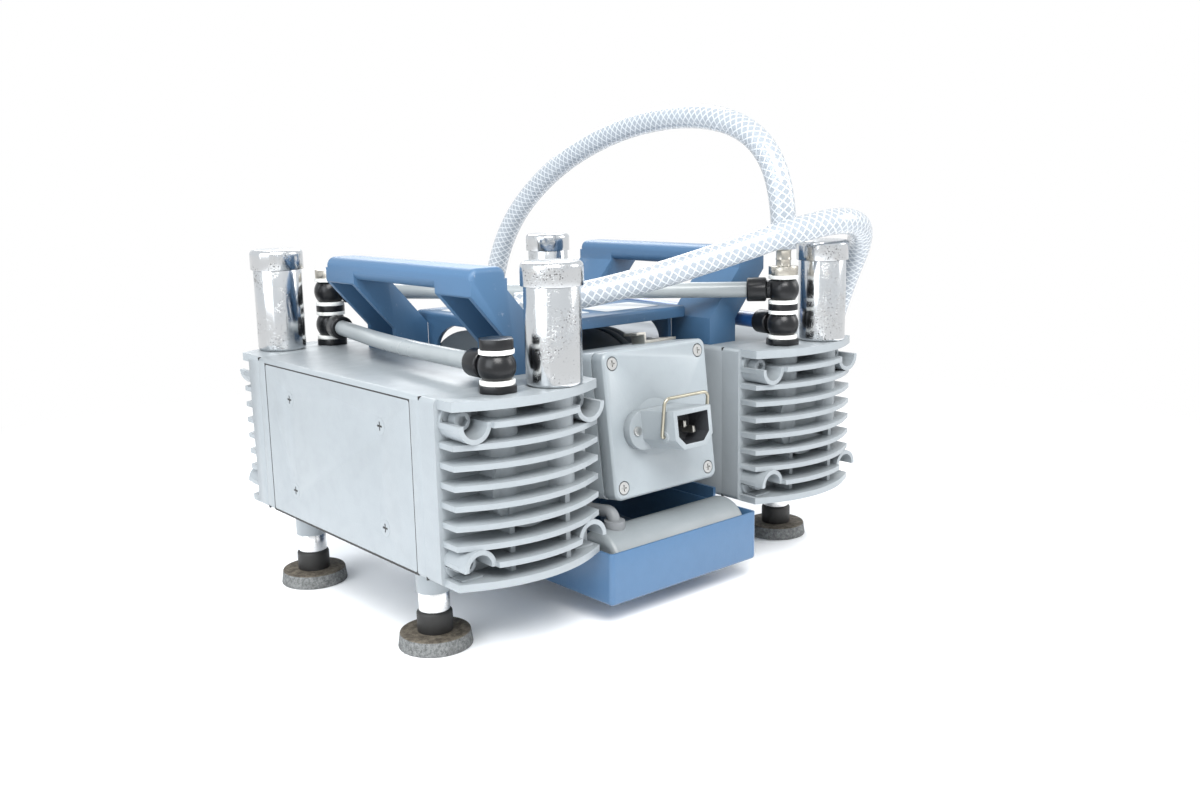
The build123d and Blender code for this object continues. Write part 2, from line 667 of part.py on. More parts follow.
def inlet_bail():
    """Wire loop with its ends turned into the adapter's ears."""
    z0 = -BAIL_PIVOT_DOWN + INLET_DOWN
    end = INLET_WIDTH / 2 + INLET_RIM - 1.8
    points = [
        (-end, -BAIL_PIVOT_OUT, z0), (-BAIL_HALF, -BAIL_PIVOT_OUT, z0),
        (-BAIL_HALF, -BAIL_PIVOT_OUT - BAIL_LEAN, z0 + BAIL_RISE),
        (BAIL_HALF, -BAIL_PIVOT_OUT - BAIL_LEAN, z0 + BAIL_RISE),
        (BAIL_HALF, -BAIL_PIVOT_OUT, z0), (end, -BAIL_PIVOT_OUT, z0),
    ]
    path = FilletPolyline(*points, radius=[1.2, BAIL_ROUND, BAIL_ROUND, 1.2])
    wire = sweep(Plane(path @ 0, z_dir=path % 0) * Circle(BAIL_WIRE_R), path)
    return on_box(Pos(INLET_X, 0, -INLET_DOWN) * wire)


# ---- cover and handles ---------------------------------------------------------------------------------------------
def top_cover():
    """Moulded roof over the motor: a lip all round, and side panels with an arch for the cooling air."""
    low = TOP_Z - TOP_LIP
    shell = slab((-TOP_HALF_X, TOP_HALF_X), (-TOP_HALF_Y, TOP_HALF_Y), (low, TOP_Z))
    shell = fillet(shell.edges().filter_by(Axis.Z), 4)
    shell = fillet(shell.faces().sort_by(Axis.Z)[-1].edges(), 2)
    inside_x, inside_y = TOP_HALF_X - TOP_WALL, TOP_HALF_Y - TOP_WALL
    shell -= slab((-inside_x, inside_x), (-inside_y, inside_y), (low - 1, TOP_Z - TOP_WALL))
    for side in SIDES.values():
        panel = slab(sorted((side * inside_x, side * TOP_HALF_X)), (-LEG_IN, LEG_IN), (CASE_TOP, low + 1))
        arch = Pos(0, 0, CASE_TOP) * Rot(0, 90, 0) * extrude(Ellipse(ARCH_RISE, ARCH_HALF), UNIT, both=True)
        shell += panel - arch
    for y in (-TOP_HALF_Y / 2, 0, TOP_HALF_Y / 2):
        shell += slab((-inside_x, inside_x), (y - 1, y + 1), (TOP_Z - TOP_LIP + 1, TOP_Z - TOP_WALL))
    return shell


def leg_outline():
    """Front view of a handle leg: it stands on the crankcase's inner edge and leans outwards to the grip."""
    foot_in, foot_out = TOP_HALF_X, TOP_HALF_X + LEG_FOOT
    grip_in, grip_out = GRIP_X - GRIP_WIDE / 2, GRIP_X + GRIP_WIDE / 2
    return [
        (foot_in, CASE_TOP), (foot_out, CASE_TOP), (foot_out, CASE_TOP + LEG_STEP),
        (grip_out, GRIP_Z - GRIP_TALL / 2 - 2), (grip_out, GRIP_Z), (grip_in, GRIP_Z),
        (grip_in, GRIP_Z - GRIP_TALL / 2), (foot_in, TOP_Z - TOP_LIP),
    ]


def handle():
    """Right-hand handle: a rounded grip along Y on two legs, each a channel open to the outside."""
    section = RectangleRounded(GRIP_WIDE, GRIP_TALL, GRIP_ROUND)
    grip = Pos(GRIP_X, 0, GRIP_Z) * Rot(90, 0, 0) * extrude(section, GRIP_HALF, both=True)
    grip = fillet(grip.faces().sort_by(Axis.Y)[0].edges() + grip.faces().sort_by(Axis.Y)[-1].edges(), 3)
    outline = leg_outline()
    body = grip
    for end in ENDS.values():
        y0, y1 = sorted((end * LEG_IN, end * GRIP_HALF))
        leg = extrude(Plane.XZ * make_face(Polyline(*outline, close=True)), y1 - y0)
        leg = Pos(0, y1, 0) * leg
        pocket = extrude(Plane.XZ * make_face(Polyline(*outline, close=True)), y1 - y0 - 2 * LEG_WALL)
        pocket = Pos(LEG_WALL * 1.5, y1 - LEG_WALL, -LEG_WALL) * pocket
        room = slab((0, UNIT_OUT), (y0, y1), (CASE_TOP + LEG_FLOOR, GRIP_Z - GRIP_TALL / 2 - 3))
        body += leg - (pocket & room)
    return body


def handle_on(side):
    return handle() if side > 0 else mirror(handle(), Plane.YZ)


def clamp_bracket():
    """Cranked metal strap screwed down on top of the terminal box, under the front lip of the cover."""
    top = BOX_HEIGHT / 2
    back = BOX_COVER + STRAP_BACK
    strap = slab((STRAP_LEFT, STRAP_RIGHT), (back, back + STRAP_WIDE), (top, top + STRAP))
    strap += slab((STRAP_LEFT, STRAP_LEFT + STRAP), (back, back + STRAP_WIDE), (top, top + STRAP_RISE))
    strap += slab((STRAP_LEFT - 6, STRAP_LEFT + STRAP), (back, back + STRAP_WIDE),
                  (top + STRAP_RISE - STRAP, top + STRAP_RISE))
    hole = bar_z(2.2, top - 1, top + STRAP + 1, STRAP_RIGHT - 8, back + STRAP_WIDE / 2)
    return on_box(strap - hole)


# ---- tray and capacitor --------------------------------------------------------------------------------------------
def drip_tray():
    """Folded sheet tray hung under the motor, with its front and sides turned up."""
    tray = slab((-TRAY_HALF_X, TRAY_HALF_X), (-TRAY_FRONT, TRAY_BACK), (TRAY_Z, TRAY_Z + TRAY_LIP))
    tray = fillet(tray.edges().filter_by(Axis.Z), 3)
    tray = fillet(tray.faces().sort_by(Axis.Z)[0].edges(), 2.5)
    inner_x, w = TRAY_HALF_X - TRAY_WALL, TRAY_WALL
    hollow = slab((-inner_x, inner_x), (-TRAY_FRONT + w, TRAY_BACK - w), (TRAY_Z + w, TRAY_Z + TRAY_LIP + 1))
    hollow = fillet(hollow.edges().filter_by(Axis.Z), 1.5)
    tray -= hollow
    motor_low = AXIS_Z - MOTOR_R
    for x in (-TRAY_HALF_X / 2, TRAY_HALF_X / 2):
        post = bar_z(7, TRAY_Z + w / 2, motor_low + 3, x, 0)
        tray += post - bar_x(MOTOR_R, -UNIT, UNIT, 0, AXIS_Z)
    return tray


def capacitor():
    z = TRAY_Z + TRAY_WALL + CAP_CYL_R
    can = bar_x(CAP_CYL_R, CAP_CYL_LOW, CAP_CYL_HIGH, -CAP_CYL_Y, z)
    can = fillet(can.edges().filter_by(GeomType.CIRCLE), 4)
    return can + bar_x(4, CAP_CYL_HIGH - 1, CAP_CYL_HIGH + 3, -CAP_CYL_Y, z)


def capacitor_cable():
    """Short cable that rises from the capacitor into the underside of the terminal box."""
    z = TRAY_Z + TRAY_WALL + 2 * CAP_CYL_R
    top = BOX_Z - BOX_HEIGHT / 2 * cos(radians(BOX_TILT))
    back = BOX_Y - 26
    path = FilletPolyline((CABLE_X, -CAP_CYL_Y, z - 2), (CABLE_X, -CAP_CYL_Y + 1, z + 9), (CABLE_X, -back - 2, top - 10),
                          (CABLE_X, -back, top + 1), radius=[5, 5])
    cable = sweep(Plane(path @ 0, z_dir=path % 0) * Circle(CABLE_R), path)
    return cable + bar_z(CABLE_R + 2.5, z - 2, z + 4, CABLE_X, -CAP_CYL_Y)


# ---- cans and fittings ---------------------------------------------------------------------------------------------
def can_places():
    return [(side * UNIT_X - end * CAN_DX, end * CAN_Y) for side in SIDES.values() for end in ENDS.values()]


def can_bodies():
    cans = []
    for x, y in can_places():
        can = bar_z(CAN_R, CASE_TOP, CASE_TOP + CAN_HEIGHT, x, y)
        can = fillet(can.edges().sort_by(Axis.Z)[0], 2)
        cans.append(can + bar_z(PORT_R, CASE_TOP - CAN_SPIGOT, CASE_TOP + 1, x, y))
    return group(cans)


def can_caps():
    caps = []
    for x, y in can_places():
        low = CASE_TOP + CAN_HEIGHT
        cap = bar_z(CAP_R, low, low + CAP_HEIGHT, x, y)
        caps.append(fillet(cap.edges().filter_by(GeomType.CIRCLE).sort_by(Axis.Z)[-1], 3))
    return group(caps)


def fitting_place(side, end):
    return side * UNIT_X - end * FITTING_DX, end * FITTING_Y


def ring_height(level):
    """Middle of the lower (0) or upper (1) ring of a fitting."""
    low = CASE_TOP + BASE_HEX + WASHER
    return low + RING_HEIGHT / 2 + level * (RING_HEIGHT + 2 * WASHER + BASE_HEX)


# Each fitting: its place, how many rings it has, and what closes its top.
FITTINGS = {
    ("left", "front"): (1, "bolt"),
    ("right", "front"): (2, "nozzle"),
    ("left", "rear"): (2, "plug"),
    ("right", "rear"): (1, "bolt"),
}

# Each tube: (side, end, ring level) at both ends and how far its middle bows to the left.
TUBES = {
    "left": (("left", "front", 0), ("left", "rear", 0), 7.0),
    "cross": (("left", "rear", 1), ("right", "front", 1), 0.5),
    "right": (("right", "front", 0), ("right", "rear", 0), -6.0),
}


def ring_centre(side, end, level):
    x, y = fitting_place(SIDES[side], ENDS[end])
    return Vector(x, y, ring_height(level))


def tube_points(name):
    start, stop, bow = TUBES[name]
    a, b = ring_centre(*start), ring_centre(*stop)
    middle = (a + b) * 0.5 + Vector(-bow, 0, -1.0)
    return a, middle, b


def aim(shape, origin, target):
    """Turns a shape built along +X at the origin so that it starts at one point and looks at another."""
    d = target - origin
    flat = sqrt(d.X ** 2 + d.Y ** 2)
    turn = Rot(0, 0, degrees(atan2(d.Y, d.X))) * Rot(0, -degrees(atan2(d.Z, flat)), 0)
    return Pos(origin.X, origin.Y, origin.Z) * turn * shape


def ring_bodies():
    """Ball-shaped rings, each with the neck that its tube's nut screws on."""
    rings = []
    for name in TUBES:
        a, middle, b = tube_points(name)
        for centre in (a, b):
            ball = Pos(centre.X, centre.Y, centre.Z) * Sphere(RING_R)
            ball &= bar_z(RING_R + 1, centre.Z - RING_HEIGHT / 2, centre.Z + RING_HEIGHT / 2, centre.X, centre.Y)
            neck = aim(bar_x(5.8, 3, NUT_FROM + 2, 0, 0), centre, middle)
            hole = bar_z(BOLT_R, centre.Z - RING_R, centre.Z + RING_R, centre.X, centre.Y)
            rings.append(ball + neck - hole)
    return group(rings)


def tube_nuts():
    nuts = []
    for name in TUBES:
        a, middle, b = tube_points(name)
        for centre in (a, b):
            nut = bar_x(NUT_R, NUT_FROM + 2, NUT_END, 0, 0)
            nut = chamfer(nut.edges().filter_by(GeomType.CIRCLE), 0.8)
            nut -= bar_x(TUBE_R, NUT_FROM, NUT_END + 1, 0, 0)
            nuts.append(aim(nut, centre, middle))
    return group(nuts)


def tube(name):
    """Rigid air tube between two nuts, with one wide bend at its middle."""
    a, middle, b = tube_points(name)
    start = a + (middle - a).normalized() * TUBE_START
    stop = b + (middle - b).normalized() * TUBE_START
    path = FilletPolyline(start, middle, stop, radius=900)
    return sweep(Plane(path @ 0, z_dir=path % 0) * Circle(TUBE_R), path)


def fitting_levels(rings):
    """(kind, low, high) of the pieces stacked on a port, from the head's top upwards."""
    levels, z = [], CASE_TOP
    for n in range(rings):
        levels.append(("hex" if n == 0 else "spacer", z, z + BASE_HEX))
        z += BASE_HEX
        levels.append(("washer", z, z + WASHER))
        z += WASHER + RING_HEIGHT
        levels.append(("washer", z, z + WASHER))
        z += WASHER
    return levels, z


def hollow_bolts():
    """Hollow bolt through each stack, with its base and, on the plain fittings, its own head."""
    bolts = []
    for (side, end), (rings, top) in FITTINGS.items():
        x, y = fitting_place(SIDES[side], ENDS[end])
        levels, z = fitting_levels(rings)
        bolt = bar_z(BOLT_R, CASE_TOP - 8, z, x, y)
        for kind, low, high in levels:
            if kind == "hex":
                bolt += hexagon(HEX, low, high, x, y)
            if kind == "spacer":
                bolt += bar_z(WASHER_R, low, high, x, y)
        if top == "bolt":
            bolt += hexagon(HEX - 2, z, z + TOP_HEX, x, y)
        bolts.append(bolt - bar_z(2.4, CASE_TOP - 9, z - 6, x, y))
    return group(bolts)


def seal_washers():
    washers = []
    for (side, end), (rings, _) in FITTINGS.items():
        x, y = fitting_place(SIDES[side], ENDS[end])
        for kind, low, high in fitting_levels(rings)[0]:
            if kind == "washer":
                washers.append(bar_z(WASHER_R, low, high, x, y) - bar_z(BOLT_R, low - 1, high + 1, x, y))
    return group(washers)


def blanking_plug():
    x, y = fitting_place(-1, 1)
    z = fitting_levels(2)[1]
    return hexagon(HEX - 2, z, z + TOP_HEX, x, y)


def hose_nozzle():
    """Barbed nozzle: a hexagon foot and a turned stem with ribs for the hose."""
    x, y = fitting_place(1, -1)
    z = fitting_levels(2)[1]
    nozzle = hexagon(HEX - 2, z, z + TOP_HEX, x, y) + bar_z(NOZZLE_R, z, z + TOP_HEX + NOZZLE_HEIGHT, x, y)
    for n in range(4):
        low = z + TOP_HEX + 4 + n * 5.5
        nozzle += Pos(x, y, low + 1.6) * Cone(HOSE_BORE_R, NOZZLE_R - 0.4, 3.2)
    return nozzle - bar_z(NOZZLE_BORE_R, z, z + UNIT, x, y)


# ---- hose ----------------------------------------------------------------------------------------------------------
def hose_radii(points):
    """Bend radius at each corner: 0.45 of the shorter run, over the tangent of half the turn."""
    radii = []
    for a, b, c in zip(points, points[1:], points[2:]):
        before, after = b - a, c - b
        half_turn = radians(before.get_angle(after)) / 2
        radii.append(0.45 * min(before.length, after.length) / tan(half_turn))
    return radii


def hose():
    points = [Vector(*p) for p in HOSE_ROUTE]
    radii = hose_radii(points)
    path = FilletPolyline(*points, radius=radii)
    start = Plane(path @ 0, z_dir=path % 0)
    body = sweep(start * Circle(HOSE_R), path) - sweep(start * Circle(HOSE_BORE_R), path)
    expected = pi * (HOSE_R ** 2 - HOSE_BORE_R ** 2) * path.length
    print("hose radii", [round(r) for r in radii])
    print("hose length", round(path.length, 1), "volume over section times length", round(body.volume / expected, 5))
    return body


# ---- feet ----------------------------------------------------------------------------------------------------------
def foot_places():
    x = UNIT_X + FOOT_X_IN
    return [(sx * x, sy * FOOT_Y) for sx in (-1, 1) for sy in (-1, 1)]


def foot_sleeves():
    top = FOOT_HEIGHT - BOSS_HEIGHT
    sleeves = []
    for x, y in foot_places():
        sleeve = bar_z(SLEEVE_R, top - SLEEVE_HEIGHT, top, x, y)
        sleeves.append(sleeve + bar_z(FOOT_STUD_R, top - 1, FOOT_HEIGHT - 3, x, y))
    return group(sleeves)


def foot_rubbers():
    top = FOOT_HEIGHT - BOSS_HEIGHT - SLEEVE_HEIGHT
    rubbers = []
    for x, y in foot_places():
        stub = bar_z(RUBBER_R, PAD_HEIGHT, top, x, y)
        rubbers.append(fillet(stub.edges().sort_by(Axis.Z)[-1], 2))
    return group(rubbers)


def foot_pads():
    pads = []
    for x, y in foot_places():
        pads.append(Pos(x, y, PAD_HEIGHT / 2) * Cone(PAD_R, PAD_TOP_R, PAD_HEIGHT))
    return group(pads)


# ---- nodes ---------------------------------------------------------------------------------------------------------
def all_nodes():
    nodes = {
        "cross_head_screws": group(side_cover_screws() + terminal_cover_screws()),
        "head_screws": head_screws(),
        "inner_head_plates": inner_plates(),
        "valve_discs": valve_discs(),
        "diaphragm_rims": diaphragm_rims(),
        "motor_shaft": motor_shaft(),
        "eccentrics": group(eccentric(side) for side in SIDES.values()),
        "rotor": rotor(),
        "cooling_fan": cooling_fan(),
        "motor_housing": motor_housing(),
        "stator": stator(),
        "ball_bearings": ball_bearings(),
        "terminal_box_base": terminal_box_base(),
        "terminal_box_cover": terminal_box_cover(),
        "inlet_adapter": inlet_adapter(),
        "inlet_pins": inlet_pins(),
        "inlet_bail": inlet_bail(),
        "top_cover": top_cover(),
        "clamp_bracket": clamp_bracket(),
        "drip_tray": drip_tray(),
        "capacitor": capacitor(),
        "capacitor_cable": capacitor_cable(),
        "can_bodies": can_bodies(),
        "can_caps": can_caps(),
        "ring_bodies": ring_bodies(),
        "tube_nuts": tube_nuts(),
        "hollow_bolts": hollow_bolts(),
        "seal_washers": seal_washers(),
        "blanking_plug": blanking_plug(),
        "hose_nozzle": hose_nozzle(),
        "grey_tubes": group([tube("left"), tube("cross")]),
        "blue_tube": tube("right"),
        "hose": hose(),
        "foot_sleeves": foot_sleeves(),
        "foot_rubbers": foot_rubbers(),
        "foot_pads": foot_pads(),
    }
    casting = head()
    for side_name, side in SIDES.items():
        nodes[f"crankcase_{side_name}"] = crankcase(side)
        nodes[f"side_cover_{side_name}"] = side_cover(side)
        nodes[f"handle_{side_name}"] = handle_on(side)
        nodes[f"end_shield_{side_name}"] = end_shield(side)
        for end_name, end in ENDS.items():
            nodes[f"head_{end_name}_{side_name}"] = at_head(casting, side, end)
            nodes[f"con_rod_{end_name}_{side_name}"] = con_rod(side, end)
            nodes[f"diaphragm_{end_name}_{side_name}"] = diaphragm_disc(side, end)
            nodes[f"clamp_disc_{end_name}_{side_name}"] = clamp_disc(side, end)
    return nodes


def main():
    os.makedirs("parts", exist_ok=True)
    for name, shape in all_nodes().items():
        export_step(shape, os.path.join("parts", f"{name}.step"))


main()
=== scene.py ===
"""Dresses the diaphragm vacuum pump: softened castings, finishes, the braided hose, stage and camera."""

import json
from math import cos, pi, radians, sin

import bpy
from mathutils import Matrix, Vector

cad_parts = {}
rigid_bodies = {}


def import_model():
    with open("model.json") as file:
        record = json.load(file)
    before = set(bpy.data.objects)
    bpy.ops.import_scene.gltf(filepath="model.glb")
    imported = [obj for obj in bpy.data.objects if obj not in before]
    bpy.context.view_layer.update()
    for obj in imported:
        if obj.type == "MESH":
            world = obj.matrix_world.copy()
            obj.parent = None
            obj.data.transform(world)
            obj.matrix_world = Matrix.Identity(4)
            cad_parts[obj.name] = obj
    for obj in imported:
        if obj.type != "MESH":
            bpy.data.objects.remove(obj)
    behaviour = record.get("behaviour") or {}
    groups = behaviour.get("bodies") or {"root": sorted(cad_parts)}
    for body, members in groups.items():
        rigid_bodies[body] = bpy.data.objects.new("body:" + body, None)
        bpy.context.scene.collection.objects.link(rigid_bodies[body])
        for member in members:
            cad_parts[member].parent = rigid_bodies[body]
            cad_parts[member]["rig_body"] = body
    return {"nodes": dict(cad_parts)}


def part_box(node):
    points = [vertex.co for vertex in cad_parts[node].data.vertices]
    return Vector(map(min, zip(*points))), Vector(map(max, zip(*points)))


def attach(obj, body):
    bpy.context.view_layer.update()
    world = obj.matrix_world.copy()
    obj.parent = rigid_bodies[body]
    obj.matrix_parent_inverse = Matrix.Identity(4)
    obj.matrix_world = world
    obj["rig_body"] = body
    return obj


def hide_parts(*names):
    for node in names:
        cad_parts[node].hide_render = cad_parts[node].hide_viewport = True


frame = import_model()

bl_info = {
    "name": "Diaphragm pump dressing",
    "version": (1, 0, 0),
    "blender": (4, 5, 0),
    "location": "3D View > Sidebar > Pump",
    "description": "Finishes, hose and stage for a four-head diaphragm vacuum pump",
    "category": "Object",
}

MM = 0.001
EDGE_ANGLE = 38.0                                    # degrees: edges sharper than this are softened
NODES = frame["nodes"]
SIDES = ("left", "right")
HEADS = [f"head_{end}_{side}" for side in SIDES for end in ("front", "rear")]
RODS = [f"{end}_{side}" for side in SIDES for end in ("front", "rear")]
AXIS_Z = (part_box("motor_housing")[0].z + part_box("motor_housing")[1].z) / 2
COVER_LOW, COVER_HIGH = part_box("top_cover")
BOX_FACE_Y, BOX_FACE_Z = -103.5 * MM, 110.5 * MM     # middle of the terminal box cover's outer face
BOX_TILT = radians(-7.06)
BOX_PLACE = Matrix.Translation((0, BOX_FACE_Y, BOX_FACE_Z)) @ Matrix.Rotation(BOX_TILT, 4, "X")
HEAD_SCREW_X, HEAD_SCREW_Z = 37.3 * MM, 37.5 * MM    # head screws from the middle of their head
INLET_X, INLET_Z = -6.5 * MM, -4.2 * MM              # mains inlet from the middle of the box cover

# Route of the free hose in millimetres: the control points of its smooth line.
HOSE_ROUTE = [
    (99.1, -112.4, 205), (99.3, -112.6, 242), (100, -88, 279), (100, -34, 293), (100, 44, 286),
    (100, 120, 259), (101, 180, 216), (103, 210, 158), (110, 222, 98), (130, 220, 46),
    (168, 198, 14), (204, 156, 9), (222, 100, 9), (226, 44, 12), (218, -6, 34),
    (207, -44, 78), (194, -72, 130), (180, -99, 178), (159, -130, 214), (122, -144, 224),
    (82, -135, 218), (42, -112, 204), (2, -84, 190), (-36, -58, 180.5), (-60, -42, 177.5),
]


# ---- settings ------------------------------------------------------------------------------------
def colour(name, text, value):
    return bpy.props.FloatVectorProperty(name=name, description=text, default=value, size=3, min=0, max=1,
                                         subtype="COLOR")


def length(name, text, value):
    return bpy.props.FloatProperty(name=name, description=text, default=value, min=0, unit="LENGTH",
                                   subtype="DISTANCE")


class PumpSizes(bpy.types.PropertyGroup):
    casting_edge: length("Casting edge", "Radius of the softened edges of the castings", 0.7 * MM)
    moulding_edge: length("Moulding edge", "Radius of the softened edges of the blue mouldings", 1.1 * MM)
    metal_edge: length("Metal edge", "Radius of the softened edges of turned and folded metal", 0.35 * MM)
    hose_radius: length("Hose radius", "Outer radius of the braided hose", 8 * MM)
    hose_bore: length("Hose bore", "Inner radius of the braided hose", 5 * MM)
    braid_pitch: length("Braid pitch", "Length of hose over which a braid thread goes once round", 42 * MM)
    label_length: length("Label length", "Length of the right label on the cover", 46 * MM)
    label_width: length("Label width", "Width of the right label on the cover", 30 * MM)
    left_label_length: length("Left label length", "Length of the left label, along the shaft", 56 * MM)
    left_label_width: length("Left label width", "Width of the left label, across the shaft", 84 * MM)


class PumpColours(bpy.types.PropertyGroup):
    casting: colour("Castings", "Powder coat of crankcases and heads", (0.245, 0.270, 0.288))
    motor: colour("Motor", "Enamel of the motor", (0.080, 0.094, 0.106))
    box: colour("Terminal box", "Paint of the terminal box", (0.245, 0.275, 0.295))
    inlet: colour("Inlet", "Plastic of the mains inlet", (0.235, 0.262, 0.28))
    moulding: colour("Blue moulding", "Plastic of cover and handles", (0.047, 0.113, 0.21))
    tray: colour("Tray", "Paint of the sheet tray", (0.050, 0.115, 0.215))
    tube: colour("Grey tube", "Rigid air tubes", (0.27, 0.295, 0.305))
    blue_tube: colour("Blue tube", "Blue air tube", (0.018, 0.09, 0.28))
    pad: colour("Pads", "Speckled foot pads", (0.115, 0.12, 0.12))
    capacitor: colour("Capacitor", "Capacitor can", (0.19, 0.213, 0.225))


# ---- shader maths --------------------------------------------------------------------------------
class Wire:
    """A shader socket that adds Math nodes when it is used in an expression."""

    def __init__(self, recipe, socket):
        self.recipe = recipe
        self.socket = socket

    def _math(self, operation, *values):
        return self.recipe.add("ShaderNodeMath", {"operation": operation}, dict(enumerate(values)))

    def __add__(self, other):
        return self._math("ADD", self, other)

    def __radd__(self, other):
        return self._math("ADD", other, self)

    def __sub__(self, other):
        return self._math("SUBTRACT", self, other)

    def __rsub__(self, other):
        return self._math("SUBTRACT", other, self)

    def __mul__(self, other):
        return self._math("MULTIPLY", self, other)

    def __rmul__(self, other):
        return self._math("MULTIPLY", other, self)

    def fraction(self):
        return self._math("FRACT", self)

    def distance(self, other):
        return self._math("ABSOLUTE", self - other)

    def maximum(self, other):
        return self._math("MAXIMUM", self, other)

    def step(self, low, high):
        """0 below low, 1 above high, smooth between them."""
        return self.recipe.add("ShaderNodeMapRange", {"interpolation_type": "SMOOTHSTEP"},
                               {"Value": self, "From Min": low, "From Max": high})


class Recipe:
    """One material while its nodes are being added."""

    def __init__(self, name):
        self.material = bpy.data.materials.new(name)
        self.material.use_nodes = True
        self.tree = self.material.node_tree
        self.tree.nodes.clear()
        self.output = self.tree.nodes.new("ShaderNodeOutputMaterial")

    def add(self, kind, settings=None, inputs=None, out=0):
        """Adds a node, fills its sockets with values or links, and returns one of its outputs."""
        node = self.tree.nodes.new(kind)
        for key, value in (settings or {}).items():
            setattr(node, key, value)
        for key, value in (inputs or {}).items():
            if isinstance(value, Wire):
                self.tree.links.new(value.socket, node.inputs[key])
            else:
                node.inputs[key].default_value = value
        return Wire(self, node.outputs[out])

    def place(self):
        return self.add("ShaderNodeTexCoord", out="Object")

    def stretched(self, scale):
        return self.add("ShaderNodeMapping", None, {"Vector": self.place(), "Scale": scale})

    def noise(self, scale, detail=4.0, roughness=0.55, vector=None):
        return self.add("ShaderNodeTexNoise", None, {"Vector": vector or self.place(), "Scale": scale,
                                                     "Detail": detail, "Roughness": roughness})

    def cells(self, scale):
        return self.add("ShaderNodeTexVoronoi", None, {"Vector": self.place(), "Scale": scale})

    def mix(self, factor, a, b):
        """Colour a where factor is 0, colour b where it is 1."""
        return self.add("ShaderNodeMix", {"data_type": "RGBA"}, {0: factor, 6: a, 7: b}, out=2)

    def bump(self, height, distance, strength=1.0):
        sockets = {"Height": height, "Distance": distance, "Strength": strength}
        return self.add("ShaderNodeBump", None, sockets)

    def surface(self, **inputs):
        """Principled shader on the output. Socket names come with underscores for their spaces."""
        named = {key.replace("_", " "): value for key, value in inputs.items()}
        shader = self.add("ShaderNodeBsdfPrincipled", None, named)
        self.tree.links.new(shader.socket, self.output.inputs["Surface"])
        return self.material


def rgba(shade, gain=1.0):
    return tuple(min(1.0, c * gain) for c in shade) + (1.0,)


# ---- finishes ------------------------------------------------------------------------------------
def powder_coat(name, shade, grain=0.00012, rough=0.38, dirt=0.25):
    """Orange-peel powder coat with faint handling marks and a little grime in broad patches."""
    r = Recipe(name)
    patch = r.noise(9.0, 5.0, 0.6).step(0.42, 0.72)
    fine = r.noise(120.0, 3.0, 0.5).step(0.35, 0.75)
    specks = r.cells(420.0).step(0.10, 0.0) * r.noise(60.0).step(0.55, 0.7)
    base = r.mix(patch * 0.55, rgba(shade, 1.03), rgba(shade, 0.9))
    base = r.mix(fine * 0.16, base, rgba(shade, 0.8))
    base = r.mix(specks * dirt, base, (0.10, 0.09, 0.08, 1))
    peel = r.noise(900.0, 2.0, 0.5) + r.noise(2600.0, 1.0, 0.4) * 0.35
    return r.surface(Base_Color=base, Roughness=rough + patch * 0.08 + fine * 0.05,
                     Normal=r.bump(peel, grain, 0.55), Coat_Weight=0.12, Coat_Roughness=0.22)


def enamel(name, shade):
    """Matt sprayed enamel on the motor, with dusty patches."""
    r = Recipe(name)
    dust = r.noise(22.0, 6.0, 0.65).step(0.4, 0.75)
    scratch = r.noise(30.0, 6.0, 0.7, r.stretched((0.4, 6.0, 6.0))).step(0.62, 0.66)
    base = r.mix(dust * 0.4, rgba(shade), rgba(shade, 1.35))
    base = r.mix(scratch * 0.3, base, rgba(shade, 1.8))
    return r.surface(Base_Color=base, Roughness=0.5 + dust * 0.15,
                     Normal=r.bump(r.noise(700.0, 3.0), 0.00015, 0.6))


def moulded(name, shade, spark=0.00010, rough=0.42, worn=0.35):
    """Spark-eroded moulding: fine grain, slight fading, thin scuffs."""
    r = Recipe(name)
    fade = r.noise(7.0, 4.0, 0.5).step(0.35, 0.7)
    scuff = r.noise(26.0, 8.0, 0.75, r.stretched((5.0, 0.7, 5.0))).step(0.63, 0.69)
    base = r.mix(fade * 0.5, rgba(shade, 0.94), rgba(shade, 1.16))
    base = r.mix(scuff * worn, base, rgba([c * 0.6 + 0.30 for c in shade]))
    grain = r.noise(1500.0, 2.0, 0.55)
    return r.surface(Base_Color=base, Roughness=rough + fade * 0.06 + scuff * 0.12,
                     Normal=r.bump(grain, spark, 0.5))


def pitted_chrome(name):
    """Old plating: bright, with clusters of dark pits and brown bloom round them."""
    r = Recipe(name)
    cluster = r.noise(60.0, 5.0, 0.6).step(0.46, 0.62)
    pits = r.cells(620.0).step(0.36, 0.16)
    fine = r.noise(1300.0, 4.0, 0.7).step(0.55, 0.66)
    mark = (pits * cluster).maximum(fine * cluster * 0.8)
    bloom = r.noise(160.0, 4.0).step(0.5, 0.8) * cluster
    base = r.mix(bloom * 0.45, (0.62, 0.635, 0.65, 1), (0.32, 0.29, 0.25, 1))
    base = r.mix(mark * 0.85, base, (0.035, 0.033, 0.03, 1))
    return r.surface(Base_Color=base, Metallic=1.0, Roughness=0.15 + bloom * 0.2 + mark * 0.4,
                     Normal=r.bump(1.0 - mark, 0.00008, 0.7))


def satin_metal(name, shade, rough=0.28, along=(1.0, 1.0, 14.0), dull=0.35):
    """Turned or brushed metal with drawn streaks and dull patches."""
    r = Recipe(name)
    streak = r.noise(160.0, 5.0, 0.6, r.stretched(along))
    stain = r.noise(90.0, 5.0, 0.65).step(0.48, 0.75)
    base = r.mix(streak.step(0.35, 0.7) * 0.35, rgba(shade), rgba(shade, 0.78))
    base = r.mix(stain * dull, base, rgba(shade, 0.5))
    return r.surface(Base_Color=base, Metallic=1.0 - stain * 0.2,
                     Roughness=rough + streak * 0.12 + stain * 0.2, Normal=r.bump(streak, 0.00003, 0.5))


